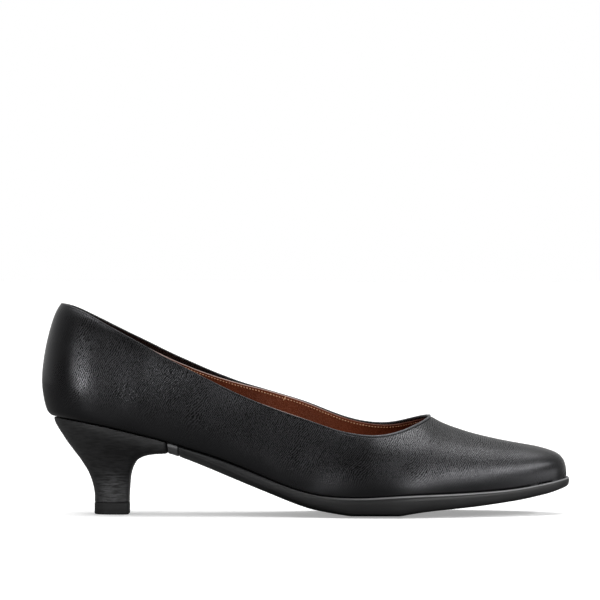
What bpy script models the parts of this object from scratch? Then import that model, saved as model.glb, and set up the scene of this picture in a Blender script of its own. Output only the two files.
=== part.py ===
"""Kitten heel pump, right shoe: upper, insole, outsole, heel and top lift.

Toe towards +X, inner side of the foot towards +Y, floor at Z = 0. The sizes below are in millimetres.
"""

import bmesh
import bpy
import numpy as np

MM = 0.001

WALL = 1.8
GAP = 0.3
MARGIN = 6.0
INSOLE_THICK = 2.2
INSOLE_BEVEL = 0.5
SEAT_BACK_X = -121.8
SEAT_ROUND_X = -92.0
SEAT_POWER = 2.2
TOE_TIP_X = 126.8
TOE_ROUND_X = 60.0
TOE_TIP_POWER = 24.0
THROAT_X = 60.0
THROAT_ROUND_X = 28.0
THROAT_POWER = 2.0
THROAT_ROOT = 1.8
TOPLINE_BACK_X = -118.1
TOPLINE_ROUND_X = -70.0
TOPLINE_BACK_POWER = 2.0
TOPLINE_BACK_ROOT = 1.9
VAMP_POWER = 2.0
VAMP_POWER_TO_TOE = 0.4
RIDGE_TILT = 0.07
BREAST_X = -66.0
SOLE_FLAT_SHARE = 0.45
SOLE_TIP_DRAW = 18.0
HEEL_SEAT_HALF = 25.0
HEEL_BACK_ROOT = 2.2
CENTRE_X = -0.2
CENTRE_Y = -0.71

SIDE_COLUMNS = 46
WALL_ROWS = 12
SOLE_COLUMNS = 56
SOLE_FIRST_TURN = 60.0
HEEL_COLUMNS = 28
PATH_POINTS = 1200
MERGE_WITHIN = 0.002
COLLAPSE_WITHIN = 0.001
SHARP_ANGLE = 40.0


def steady_curve(knots, values, at):
    """Cubic curve through the points that rises and falls only where they do."""
    slopes = np.diff(values) / np.diff(knots)
    product = slopes[:-1] * slopes[1:]
    mean = np.where(product > 0, 2 * product / np.where(product > 0, slopes[:-1] + slopes[1:], 1), 0)
    tangents = np.concatenate([slopes[:1], mean, slopes[-1:]])
    at = np.clip(np.asarray(at, dtype=float), knots[0], knots[-1])
    i = np.clip(np.searchsorted(knots, at) - 1, 0, len(knots) - 2)
    step = knots[i + 1] - knots[i]
    t = (at - knots[i]) / step
    ends = tangents[i] * t * (1 - t) ** 2 - tangents[i + 1] * t * t * (1 - t)
    return values[i] + (values[i + 1] - values[i]) * t * t * (3 - 2 * t) + step * ends


class Table:
    """Rows of sizes under named columns, read as curves along their first column."""

    def __init__(self, names, *rows):
        self.columns = dict(zip(names.split(), np.array(rows, dtype=float).T))
        self.along = self.columns[names.split()[0]]

    def row(self, index):
        """One row as sizes by column name."""
        return {name: values[index] for name, values in self.columns.items()}

    def rows(self):
        """All rows, each as sizes by column name."""
        return [self.row(index) for index in range(len(self.along))]

    def smooth(self, name, at):
        """Natural cubic spline through one column."""
        knots = self.along
        values = self.columns[name]
        steps = np.diff(knots)
        slopes = np.diff(values) / steps
        inside = np.arange(1, len(knots) - 1)
        matrix = np.eye(len(knots))
        matrix[inside, inside - 1] = steps[:-1]
        matrix[inside, inside] = 2 * (steps[:-1] + steps[1:])
        matrix[inside, inside + 1] = steps[1:]
        right = np.zeros(len(knots))
        right[inside] = 6 * np.diff(slopes)
        bend = np.linalg.solve(matrix, right)
        at = np.clip(np.asarray(at, dtype=float), knots[0], knots[-1])
        i = np.clip(np.searchsorted(knots, at) - 1, 0, len(knots) - 2)
        before = at - knots[i]
        after = knots[i + 1] - at
        cubic = (bend[i] * after**3 + bend[i + 1] * before**3) / (6 * steps[i])
        left = (values[i] / steps[i] - bend[i] * steps[i] / 6) * after
        return cubic + left + (values[i + 1] / steps[i] - bend[i + 1] * steps[i] / 6) * before

    def steady(self, name, at):
        """Curve through one column that rises and falls only where its rows do."""
        return steady_curve(self.along, self.columns[name], at)


# Height of the line where the upper meets the sole
BED = Table(
    "x height",
    (-128, 48.0), (-113, 46.3), (-103, 44.5), (-93, 42.4), (-84, 40.2), (-74, 37.8), (-64, 35.0),
    (-55, 32.2), (-45, 29.1), (-36, 25.9), (-26, 22.0), (-16, 17.9), (-7, 14.4), (0, 12.3),
    (8, 10.7), (17, 10.0), (27, 9.9), (36, 10.3), (46, 10.9), (55, 11.3), (65, 11.6), (75, 11.9),
    (84, 12.3), (94, 12.9), (104, 13.9), (113, 15.3), (119, 16.4), (124, 17.5), (130, 19.0),
)

# Reach of the line where the upper meets the sole, to the outer and the inner side of the foot
FEATHER = Table(
    "x outer inner",
    (-130, 25.0, 25.0), (-92, 25.0, 25.0), (-75, 25.0, 24.6), (-60, 24.8, 23.5), (-45, 24.9, 21.8),
    (-30, 25.8, 20.9), (-15, 28.2, 22.2), (0, 31.5, 26.0), (12, 34.4, 30.8), (25, 37.0, 35.6),
    (40, 38.0, 38.8), (52, 37.0, 39.4), (65, 33.8, 38.3), (80, 28.4, 35.3), (95, 21.9, 31.0),
    (105, 16.9, 27.4), (113, 12.4, 23.9), (119, 8.6, 20.8), (124, 5.2, 17.8), (130, 1.4, 14.4),
)

# Reach of the topline to the outer and the inner side of the foot
TOPLINE = Table(
    "x outer inner",
    (-120, 24.3, 24.3), (-70, 24.3, 24.3), (-49, 26.0, 25.5), (-31, 27.0, 26.2), (-12, 28.0, 27.6),
    (6, 28.8, 29.4), (16, 29.0, 30.4), (28, 28.4, 31.0), (40, 26.8, 31.0), (62, 24.5, 30.5),
)

# Height of the topline on the outer and the inner side of the foot
TOPLINE_HEIGHT = Table(
    "x outer inner",
    (-119, 102.7, 102.7), (-113, 101.1, 101.1), (-106, 98.3, 97.9), (-96, 92.9, 92.8),
    (-86, 87.5, 87.7), (-76, 82.0, 82.8), (-67, 77.0, 78.3), (-58, 72.3, 74.2), (-49, 67.7, 70.2),
    (-40, 63.2, 66.5), (-31, 58.9, 63.2), (-22, 55.1, 60.5), (-12, 51.4, 57.5), (-2, 48.0, 54.4),
    (6, 45.3, 51.4), (16, 42.0, 47.5), (25, 40.1, 44.9), (34, 39.3, 43.6), (42, 40.1, 43.8),
    (51, 43.0, 45.8), (56.5, 45.6, 47.3), (61, 48.3, 48.3),
)

# Height of the vamp along its middle, and how square its sides and its crown are
RIDGE = Table(
    "x height side_power crown_power",
    (-60, 90.0, 2.8, 2.4), (-30, 80.5, 2.6, 2.2), (0, 71.0, 2.3, 2.0), (16, 66.0, 1.95, 1.85),
    (34, 59.6, 1.82, 1.78), (50, 52.9, 1.9, 1.85), (60.5, 47.8, 2.0, 2.0), (65.4, 45.0, 2.04, 2.1),
    (70, 43.0, 2.08, 2.15), (75, 41.2, 2.12, 2.2), (80, 39.6, 2.15, 2.25), (85, 38.2, 2.2, 2.3),
    (90, 37.0, 2.24, 2.35), (95, 35.9, 2.28, 2.4), (100, 34.9, 2.3, 2.45), (109, 33.3, 2.35, 2.55),
    (114, 32.3, 2.4, 2.6), (119, 31.1, 2.4, 2.6), (124, 30.1, 2.4, 2.6), (130, 29.0, 2.4, 2.6),
)

# Share of the bulge at each share of the wall's height
BULGE_SHAPE = Table(
    "up share",
    (0.0, 0.0), (0.02, 0.26), (0.05, 0.47), (0.105, 0.65), (0.16, 0.77), (0.21, 0.86), (0.26, 0.93),
    (0.32, 0.98), (0.40, 1.0), (0.47, 0.98), (0.53, 0.945), (0.63, 0.86), (0.74, 0.72),
    (0.84, 0.55), (0.92, 0.36), (0.97, 0.17), (1.0, 0.0),
)

# Depth of the wall's bulge, and the share of the straight quarter wall in the blend
BULGE = Table(
    "x depth quarter_share",
    (-121.8, 7.3, 1.0), (-112, 6.9, 1.0), (-92, 5.0, 1.0), (-60, 3.2, 1.0), (-45, 2.8, 0.97),
    (-30, 2.6, 0.85), (-10, 2.4, 0.5), (10, 2.2, 0.15), (25, 2.0, 0.03), (40, 2.0, 0.0),
    (126.8, 2.0, 0.0),
)

# Topline place that a column on the feather line reaches, and the columns' spacing
COLUMNS = Table(
    "feather_x topline_x spacing",
    (-121.8, -118.1, 3.4), (-112, -110, 3.6), (-92, -92.5, 5.0), (-60, -61, 7.0), (-30, -31, 7.5),
    (0, -3, 7.5), (20, 14, 7.0), (36, 26, 6.5), (52, 36, 6.5), (68, 43.5, 6.5), (84, 49.5, 6.0),
    (100, 54, 5.0), (112, 56.8, 4.0), (120, 58.2, 3.0), (125, 59.3, 2.2), (126.8, 60.0, 2.0),
)

# Height of the underside along its middle, its rise to the edge, and how far the edge reaches past the upper
SOLE = Table(
    "x height rise reach",
    (-66, 29.9, 3.6, 0.0), (-61, 28.4, 3.6, 0.0), (-55, 26.2, 3.5, 0.0), (-45, 22.2, 3.3, 0.1),
    (-35, 18.0, 3.1, 0.2),
    (-25, 13.9, 2.9, 0.3), (-15, 9.9, 2.7, 0.5), (-7, 6.7, 2.5, 0.7), (-2, 4.9, 2.4, 0.8),
    (3, 3.4, 2.3, 0.9), (8, 2.3, 2.2, 1.0), (13, 1.4, 2.1, 1.1), (18, 0.6, 2.0, 1.2),
    (23, 0.0, 2.0, 1.2), (34, 0.0, 2.0, 1.2), (45, 0.0, 1.9, 1.2), (51, 0.9, 1.8, 1.2),
    (57, 1.8, 1.7, 1.2), (65, 2.7, 1.6, 1.2), (75, 3.6, 1.5, 1.2), (84, 4.5, 1.4, 1.2),
    (94, 5.8, 1.3, 1.2), (104, 7.3, 1.1, 1.2), (113, 9.1, 0.9, 1.2), (119, 10.5, 0.7, 1.2),
    (124, 12.1, 0.5, 1.2), (130, 14.4, 0.3, 1.2),
)

# Reach of the sole's side at each share of the way from its top to its lower edge
SOLE_EDGE = Table(
    "step reach down",
    (0, -0.5, 0.0), (1, 0.0, 0.12), (2, 0.15, 0.45), (3, -0.1, 0.8), (4, -0.8, 1.0),
)

# Rings of the sole's underside, each at a share of the half width
SOLE_UNDER = Table("ring share", (0, 0.8), (1, 0.62), (2, SOLE_FLAT_SHARE))

# Levels of the heel: ends at the back and the front, half width, share of the length that is rounded,
# squareness of the front, hollow of the breast. The first lies against the seat of the upper
HEEL = Table(
    "level back_x back_z front_x front_z half rounded power hollow",
    (0, -121.8, 47.0, -66.0, 35.3, 25.0, 0.534, 20.0, 0.0),
    (1, -121.6, 45.6, -66.0, 33.4, 24.8, 0.54, 16.0, 0.0),
    (2, -120.9, 43.9, -66.0, 31.2, 24.1, 0.54, 12.0, 0.1),
    (3, -119.7, 41.8, -66.5, 29.9, 22.9, 0.54, 9.0, 0.4),
    (4, -117.6, 38.5, -71.6, 29.4, 21.0, 0.54, 7.0, 0.8),
    (5, -115.5, 35.3, -75.9, 28.5, 18.9, 0.54, 5.5, 1.2),
    (6, -113.2, 32.2, -79.0, 27.0, 16.8, 0.54, 5.0, 1.5),
    (7, -111.0, 29.3, -81.1, 25.0, 14.8, 0.54, 5.0, 1.6),
    (8, -108.9, 26.5, -82.5, 22.6, 13.1, 0.53, 5.0, 1.6),
    (9, -107.0, 23.6, -83.3, 20.4, 11.6, 0.52, 5.0, 1.5),
    (10, -105.3, 20.7, -83.8, 18.2, 10.4, 0.51, 5.0, 1.4),
    (11, -103.8, 17.0, -84.1, 15.5, 9.3, 0.50, 5.0, 1.3),
    (12, -102.7, 13.0, -84.4, 12.3, 8.6, 0.49, 5.0, 1.2),
    (13, -102.2, 9.4, -84.6, 9.2, 8.3, 0.48, 5.0, 1.1),
    (14, -102.2, 6.0, -84.7, 6.0, 8.2, 0.48, 5.0, 1.0),
)

# Rings of the top lift
LIFT = Table("ring grow height", (0, 0.1, 5.7), (1, 0.1, 0.5), (2, -0.4, 0.0))

# Colour and roughness of each material
MATERIALS = {
    "black_leather": ((0.012, 0.012, 0.013), 0.42),
    "brown_sock": ((0.19, 0.075, 0.03), 0.6),
    "black_sole": ((0.015, 0.015, 0.016), 0.5),
    "black_heel": ((0.014, 0.014, 0.015), 0.38),
    "black_lift": ((0.013, 0.013, 0.013), 0.6),
}


def bed_height(x):
    return BED.smooth("height", x)


def closing(x, start, tip, power, root):
    """Share of the width that is left where an outline rounds off from start to tip."""
    share = np.clip((x - start) / (tip - start), 0, 1)
    return (1 - share**power) ** (1 / root)


def rounded_stations(first, last):
    """Places from first to last, closer together towards both ends."""
    turn = np.linspace(0, np.pi, PATH_POINTS)
    return first + (last - first) * (1 - np.cos(turn)) / 2


def feather_side(side, grow=0.0):
    """Points of one side of the feather outline, grown outwards, from back to toe tip."""
    back = SEAT_BACK_X - grow
    tip = TOE_TIP_X + grow
    x = rounded_stations(back, tip)
    outer = FEATHER.smooth("outer", x) + grow
    inner = FEATHER.smooth("inner", x) + grow
    seat = closing(x, SEAT_ROUND_X, back, SEAT_POWER, SEAT_POWER)
    toe = closing(x, TOE_ROUND_X, tip, TOE_TIP_POWER, RIDGE.smooth("side_power", TOE_TIP_X))
    y = (inner - outer) / 2 + side * (inner + outer) / 2 * seat * toe
    return np.stack([x, y], axis=1)


def topline_side(side):
    """Points of one side of the topline, from the back to the throat."""
    x = rounded_stations(TOPLINE_BACK_X, THROAT_X)
    outer = TOPLINE.smooth("outer", x)
    inner = TOPLINE.smooth("inner", x)
    back = closing(x, TOPLINE_ROUND_X, TOPLINE_BACK_X, TOPLINE_BACK_POWER, TOPLINE_BACK_ROOT)
    throat = closing(x, THROAT_ROUND_X, THROAT_X, THROAT_POWER, THROAT_ROOT)
    y = (inner - outer) / 2 + side * (inner + outer) / 2 * back * throat
    z = TOPLINE_HEIGHT.smooth("outer" if side < 0 else "inner", x)
    return np.stack([x, y, z], axis=1)


def lengths(points):
    """Length along a path at each of its points, seen from above."""
    steps = np.linalg.norm(np.diff(points[:, :2], axis=0), axis=1)
    return np.concatenate([[0], np.cumsum(steps)])


def sample(points, along, wanted):
    """Points of a path at the wanted places along it."""
    return np.stack([np.interp(wanted, along, points[:, k]) for k in range(points.shape[1])], axis=1)


def column_shares(side):
    """Share of the feather's length at each column, closer together where the outline turns."""
    points = feather_side(side)
    along = lengths(points)
    spacing = np.interp(points[:, 0], COLUMNS.along, COLUMNS.columns["spacing"])
    density = np.concatenate([[0], np.cumsum(np.diff(along) / spacing[1:])])
    return np.interp(np.linspace(0, density[-1], SIDE_COLUMNS + 1), density, along) / along[-1]


def feather_columns(side, grow=0.0):
    """Columns of one side of the feather outline, grown outwards."""
    points = feather_side(side, grow)
    along = lengths(points)
    return sample(points, along, column_shares(side) * along[-1])


def topline_columns(side):
    """Columns of one side of the topline, matched to the feather's columns."""
    feather = feather_side(side)
    feather_along = lengths(feather)
    topline = topline_side(side)
    topline_along = lengths(topline)
    here = np.interp(COLUMNS.along, feather[:, 0], feather_along)
    there = np.interp(COLUMNS.columns["topline_x"], topline[:, 0], topline_along)
    wanted = steady_curve(here, there, column_shares(side) * feather_along[-1])
    return sample(topline, topline_along, wanted)


def dome_height(x, y):
    """Height of the last over the forepart: a crown that falls to the feather all round."""
    outer = FEATHER.smooth("outer", x)
    inner = FEATHER.smooth("inner", x)
    across = (y - (inner - outer) / 2) / ((inner + outer) / 2)
    along = np.clip((x - TOE_ROUND_X) / (TOE_TIP_X - TOE_ROUND_X), 0, 1)
    out = np.clip(np.abs(across) ** RIDGE.smooth("side_power", x) + along**TOE_TIP_POWER, 0, 1)
    rise = (RIDGE.smooth("height", x) - bed_height(x)) * (1 + RIDGE_TILT * across)
    return bed_height(x) + rise * (1 - out) ** (1 / RIDGE.smooth("crown_power", x))


def outward_of(path, side):
    """Outward direction at each point of one side of the feather outline."""
    along = np.gradient(path, axis=0)
    along[0] = 0, side
    along[-1] = 0, -side
    outward = np.stack([-along[:, 1], along[:, 0]], axis=1) * side
    return outward / np.linalg.norm(outward, axis=1)[:, None]


def wall_side(side):
    """Outer surface of one side of the upper: columns from back to toe, rows from feather to topline."""
    feather = feather_columns(side)
    topline = topline_columns(side)
    x = feather[:, 0]
    t = np.linspace(0, 1, WALL_ROWS + 1)[None, :, None]
    start = feather[:, None, :]
    reach = topline[:, None, :2] - start
    foot = bed_height(x)[:, None]
    bulge = BULGE.steady("depth", x)[:, None, None] * BULGE_SHAPE.steady("share", t)
    wall_plan = start + reach * t + outward_of(feather, side)[:, None, :] * bulge
    wall_height = foot + (topline[:, 2:3] - foot) * t[..., 0]
    power = VAMP_POWER + VAMP_POWER_TO_TOE * np.clip(x / TOE_TIP_X, 0, 1)[:, None, None]
    inward = t**power
    dome_plan = start + reach * inward
    lift = topline[:, 2] - dome_height(topline[:, 0], topline[:, 1])
    dome = dome_height(dome_plan[..., 0], dome_plan[..., 1]) + lift[:, None] * inward[..., 0] ** 2
    share = BULGE.steady("quarter_share", x)[:, None, None]
    plan = wall_plan * share + dome_plan * (1 - share)
    height = wall_height * share[..., 0] + dome * (1 - share[..., 0])
    return np.concatenate([plan, height[..., None]], axis=2)


def both_sides(make):
    """Ring of the outer side from back to toe, then the inner side from toe to back."""
    outer = make(-1)
    inner = make(1)
    inner[[0, -1]] = outer[[0, -1]]
    return np.concatenate([outer, inner[::-1]], axis=0)


def add_part(name, points, faces, material, parts):
    """One mesh from points in millimetres, with doubles merged and faces outwards."""
    mesh = bmesh.new()
    shift = np.array([CENTRE_X, CENTRE_Y, 0.0])
    vertices = [mesh.verts.new(point) for point in (points + shift) * MM]
    for face in faces:
        mesh.faces.new([vertices[i] for i in face])
    bmesh.ops.remove_doubles(mesh, verts=mesh.verts, dist=MERGE_WITHIN * MM)
    bmesh.ops.dissolve_degenerate(mesh, edges=mesh.edges, dist=COLLAPSE_WITHIN * MM)
    bmesh.ops.recalc_face_normals(mesh, faces=mesh.faces)
    data = bpy.data.meshes.new(name)
    mesh.to_mesh(data)
    mesh.free()
    data.materials.append(material)
    data.shade_smooth()
    data.set_sharp_from_angle(angle=np.radians(SHARP_ANGLE))
    part = bpy.data.objects.new(name, data)
    parts.objects.link(part)
    return part


def skin(rings, width):
    """Quads between neighbouring closed rings."""
    faces = []
    for k in range(rings - 1):
        for i in range(width):
            j = (i + 1) % width
            faces.append((k * width + i, k * width + j, (k + 1) * width + j, (k + 1) * width + i))
    return faces


def lid(first, width):
    """Strips across a ring, from its outer side to its inner side."""
    faces = []
    for i in range(width // 2 - 1):
        faces.append((first + i, first + i + 1, first + width - 2 - i, first + width - 1 - i))
    return faces


def add_stack(name, rings, material, parts):
    """Closed solid through a stack of rings, with a lid at each end."""
    width = len(rings[0])
    faces = skin(len(rings), width) + lid(0, width) + lid((len(rings) - 1) * width, width)
    return add_part(name, np.concatenate(rings, axis=0), faces, material, parts)


def with_height(plan, height):
    return np.concatenate([plan, height[:, None]], axis=1)


def build_upper(material, parts):
    """Hollow upper: the outer surface with its margin turned in under the insole, thickened inwards."""
    wall = both_sides(wall_side)
    turned = both_sides(lambda side: feather_columns(side, -MARGIN))
    margin = with_height(turned, bed_height(turned[:, 0]))
    rings = np.concatenate([margin[:, None, :], wall], axis=1).transpose(1, 0, 2)
    count, width = rings.shape[:2]
    upper = add_part("upper", rings.reshape(-1, 3), skin(count, width), material, parts)
    if upper.data.polygons[0].normal.z > 0:
        upper.data.flip_normals()
    shell = upper.modifiers.new("wall", "SOLIDIFY")
    shell.thickness = WALL * MM
    shell.offset = -1
    shell.use_even_offset = True
    return upper


def build_insole(material, parts):
    """Insole board that lies on the margin, with a pad underneath that fills the margin's opening."""
    step = WALL + GAP
    top = step + INSOLE_THICK
    edge = -(WALL + 2 * GAP)
    pad = -(MARGIN + 2 * GAP)
    levels = ((pad, GAP), (pad, step), (edge, step), (edge, top - INSOLE_BEVEL), (edge - INSOLE_BEVEL, top))
    rings = []
    for grow, height in levels:
        plan = both_sides(lambda side, grow=grow: feather_columns(side, grow))
        rings.append(with_height(plan, bed_height(plan[:, 0]) + height))
    return add_stack("insole", rings, material, parts)


def sole_stations(tip):
    """Stations from the breast to the tip, closer together towards the tip."""
    turn = np.linspace(np.radians(SOLE_FIRST_TURN), np.pi, SOLE_COLUMNS + 1)
    return tip + (BREAST_X + GAP - tip) * (1 + np.cos(turn)) / (1 + np.cos(turn[0]))


def sole_ring(grow, share):
    """Plan of the sole's outline, grown past its edge and drawn in to a share of its width."""
    tip = TOE_TIP_X + SOLE.columns["reach"][-1] + grow - SOLE_TIP_DRAW * (1 - share)
    x = sole_stations(tip)
    reach = SOLE.steady("reach", x) + grow
    outer = FEATHER.smooth("outer", x) + reach
    inner = FEATHER.smooth("inner", x) + reach
    closed = closing(x, TOE_ROUND_X, tip, TOE_TIP_POWER, RIDGE.smooth("side_power", TOE_TIP_X))
    half = (inner + outer) / 2 * closed * share
    middle = (inner - outer) / 2
    return np.concatenate([np.stack([x, middle - half], axis=1), np.stack([x, middle + half], axis=1)[::-1]])


def under_height(x, share):
    """Height of the sole's underside at a share of its half width."""
    outside = (share - SOLE_FLAT_SHARE) / (1 - SOLE_FLAT_SHARE)
    return SOLE.steady("height", x) + SOLE.steady("rise", x) * outside**2


def build_outsole(material, parts):
    """Outsole from the heel breast to the toe, flat along the middle of the ball."""
    rings = []
    for edge in SOLE_EDGE.rows():
        plan = sole_ring(edge["reach"], 1.0)
        top = bed_height(plan[:, 0]) - GAP
        rings.append(with_height(plan, top + (under_height(plan[:, 0], 1.0) - top) * edge["down"]))
    for under in SOLE_UNDER.rows():
        plan = sole_ring(SOLE_EDGE.columns["reach"][-1], under["share"])
        rings.append(with_height(plan, under_height(plan[:, 0], under["share"])))
    return add_stack("outsole", rings, material, parts)


def heel_ring(level, grow=0.0):
    """Plan of one level of the heel: round at the back, square at the front, hollow at the breast."""
    middle = level["back_x"] + (level["front_x"] - level["back_x"]) * level["rounded"]
    cosine = np.cos(np.linspace(np.pi, 0, HEEL_COLUMNS + 1))
    sine = np.sin(np.linspace(np.pi, 0, HEEL_COLUMNS + 1))
    root = np.where(cosine < 0, HEEL_BACK_ROOT, level["power"])
    length = np.where(cosine < 0, middle - level["back_x"], level["front_x"] - middle) + grow
    half = level["half"] + grow
    y = half * np.abs(sine) ** (2 / root)
    x = middle + length * np.sign(cosine) * np.abs(cosine) ** (2 / root)
    x = x - level["hollow"] * np.clip(cosine, 0, 1) ** 2 * (1 - (y / half) ** 2)
    return np.concatenate([np.stack([x, -y], axis=1), np.stack([x, y], axis=1)[::-1]])


def build_heel(material, parts):
    """Heel: a cup as wide as the seat that draws in to a small stem."""
    rings = []
    for level in HEEL.rows():
        plan = heel_ring(level)
        share = (plan[:, 0] - level["back_x"]) / (level["front_x"] - level["back_x"])
        height = level["back_z"] + (level["front_z"] - level["back_z"]) * share
        rings.append(with_height(plan, height))
    seat = rings[0]
    half = (FEATHER.smooth("outer", seat[:, 0]) + FEATHER.smooth("inner", seat[:, 0])) / 2
    seat[:, 1] *= half / HEEL_SEAT_HALF
    seat[:, 2] = bed_height(seat[:, 0]) - GAP
    return add_stack("heel", rings, material, parts)


def build_top_lift(material, parts):
    """Top lift under the heel, flat on the floor."""
    rings = []
    for ring in LIFT.rows():
        plan = heel_ring(HEEL.row(-1), ring["grow"])
        rings.append(with_height(plan, np.full(len(plan), ring["height"])))
    return add_stack("top_lift", rings, material, parts)


def make_material(name):
    colour, roughness = MATERIALS[name]
    material = bpy.data.materials.new(name)
    material.use_nodes = True
    shader = material.node_tree.nodes["Principled BSDF"]
    shader.inputs["Base Color"].default_value = (*colour, 1.0)
    shader.inputs["Roughness"].default_value = roughness
    return material


def clear_scene():
    for item in list(bpy.data.objects):
        bpy.data.objects.remove(item, do_unlink=True)


def main():
    clear_scene()
    parts = bpy.data.collections.new("kitten_heel_pump")
    bpy.context.scene.collection.children.link(parts)
    build_upper(make_material("black_leather"), parts)
    build_insole(make_material("brown_sock"), parts)
    build_outsole(make_material("black_sole"), parts)
    build_heel(make_material("black_heel"), parts)
    build_top_lift(make_material("black_lift"), parts)


main()
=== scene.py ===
"""Kitten heel pump, right shoe: leather, lining, sock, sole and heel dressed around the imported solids.

Toe towards +X, inner side of the foot towards +Y, floor at Z = 0. Sizes are in millimetres unless a name
says otherwise. Meshes are made in metres, in the frame of the solids.
"""

import logging
from dataclasses import dataclass
from enum import Enum

import bmesh
import bpy
import numpy as np
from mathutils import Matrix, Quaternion, Vector


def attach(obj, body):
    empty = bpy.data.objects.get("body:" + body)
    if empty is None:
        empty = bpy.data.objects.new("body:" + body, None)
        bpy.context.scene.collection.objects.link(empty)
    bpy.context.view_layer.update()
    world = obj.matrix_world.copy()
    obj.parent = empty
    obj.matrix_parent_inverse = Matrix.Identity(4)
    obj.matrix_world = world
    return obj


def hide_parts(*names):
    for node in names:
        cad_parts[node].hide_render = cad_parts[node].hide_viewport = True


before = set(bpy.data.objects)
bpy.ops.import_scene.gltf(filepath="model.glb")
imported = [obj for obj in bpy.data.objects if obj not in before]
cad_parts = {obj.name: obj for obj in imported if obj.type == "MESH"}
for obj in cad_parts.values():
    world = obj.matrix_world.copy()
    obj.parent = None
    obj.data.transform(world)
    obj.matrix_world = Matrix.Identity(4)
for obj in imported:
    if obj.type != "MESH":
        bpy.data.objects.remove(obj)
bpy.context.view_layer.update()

MM = 0.001
LOG = logging.getLogger("kitten_heel_pump")
Array = np.ndarray
Colour = tuple[float, float, float]
Piece = bpy.types.Object
Material = bpy.types.Material
Node = bpy.types.Node
NodeTree = bpy.types.NodeTree
Socket = bpy.types.NodeSocket


class Side(Enum):
    """The two sides of the foot, as the sign of Y."""

    OUTER = -1
    INNER = 1


def spans(knots: Array, at: Array) -> tuple[Array, Array]:
    """The places held within the knots, and the number of the span that each lies in."""
    held = np.clip(np.asarray(at, dtype=float), knots[0], knots[-1])
    return held, np.clip(np.searchsorted(knots, held) - 1, 0, len(knots) - 2)


class Table:
    """Rows of sizes under named columns, read as curves along their first column."""

    def __init__(self, names: str, *rows: tuple[float, ...]) -> None:
        """Keeps the columns under their names.

        Args:
            names: The column names, parted by blanks.
            rows: One row of sizes for each section.
        """
        self.columns = dict(zip(names.split(), np.array(rows, dtype=float).T))
        self.along = self.columns[names.split()[0]]

    def smooth(self, name: str, at: Array) -> Array:
        """Natural cubic spline: in each span a cubic whose bend runs straight from knot to knot.

        Args:
            name: The column to read.
            at: Places along the first column.

        Returns:
            The column's values there.
        """
        knots = self.along
        values = self.columns[name]
        steps = np.diff(knots)
        slopes = np.diff(values) / steps
        inside = np.arange(1, len(knots) - 1)
        matrix = np.eye(len(knots))
        matrix[inside, inside - 1] = steps[:-1]
        matrix[inside, inside] = 2 * (steps[:-1] + steps[1:])
        matrix[inside, inside + 1] = steps[1:]
        right = np.zeros(len(knots))
        right[inside] = 6 * np.diff(slopes)
        bend = np.linalg.solve(matrix, right)
        at, i = spans(knots, at)
        before = at - knots[i]
        after = knots[i + 1] - at
        cubic = (bend[i] * after**3 + bend[i + 1] * before**3) / (6 * steps[i])
        left = (values[i] / steps[i] - bend[i] * steps[i] / 6) * after
        return cubic + left + (values[i + 1] / steps[i] - bend[i + 1] * steps[i] / 6) * before

    def steady(self, name: str, at: Array) -> Array:
        """Cubic through the rows that rises and falls only where they do."""
        return steady_curve(self.along, self.columns[name], at)


def steady_curve(knots: Array, values: Array, at: Array) -> Array:
    """Hermite cubic whose slope at each knot is the harmonic mean of its two spans, or 0 at a turn.

    Args:
        knots: Places of the points, rising.
        values: Values at the points.
        at: Places to read.

    Returns:
        The curve's values there.
    """
    slopes = np.diff(values) / np.diff(knots)
    product = slopes[:-1] * slopes[1:]
    mean = np.where(product > 0, 2 * product / np.where(product > 0, slopes[:-1] + slopes[1:], 1), 0)
    tangents = np.concatenate([slopes[:1], mean, slopes[-1:]])
    at, i = spans(knots, at)
    step = knots[i + 1] - knots[i]
    t = (at - knots[i]) / step
    ends = tangents[i] * t * (1 - t) ** 2 - tangents[i + 1] * t * t * (1 - t)
    return values[i] + (values[i + 1] - values[i]) * t * t * (3 - 2 * t) + step * ends


BED = Table(
    "x height",
    (-128, 48.0), (-113, 46.3), (-103, 44.5), (-93, 42.4), (-84, 40.2), (-74, 37.8), (-64, 35.0),
    (-55, 32.2), (-45, 29.1), (-36, 25.9), (-26, 22.0), (-16, 17.9), (-7, 14.4), (0, 12.3),
    (8, 10.7), (17, 10.0), (27, 9.9), (36, 10.3), (46, 10.9), (55, 11.3), (65, 11.6), (75, 11.9),
    (84, 12.3), (94, 12.9), (104, 13.9), (113, 15.3), (119, 16.4), (124, 17.5), (130, 19.0),
)
FEATHER = Table(
    "x outer inner",
    (-130, 25.0, 25.0), (-92, 25.0, 25.0), (-75, 25.0, 24.6), (-60, 24.8, 23.5), (-45, 24.9, 21.8),
    (-30, 25.8, 20.9), (-15, 28.2, 22.2), (0, 31.5, 26.0), (12, 34.4, 30.8), (25, 37.0, 35.6),
    (40, 38.0, 38.8), (52, 37.0, 39.4), (65, 33.8, 38.3), (80, 28.4, 35.3), (95, 21.9, 31.0),
    (105, 16.9, 27.4), (113, 12.4, 23.9), (119, 8.6, 20.8), (124, 5.2, 17.8), (130, 1.4, 14.4),
)
TOPLINE = Table(
    "x outer inner",
    (-120, 24.3, 24.3), (-70, 24.3, 24.3), (-49, 26.0, 25.5), (-31, 27.0, 26.2), (-12, 28.0, 27.6),
    (6, 28.8, 29.4), (16, 29.0, 30.4), (28, 28.4, 31.0), (40, 26.8, 31.0), (62, 24.5, 30.5),
)
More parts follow.
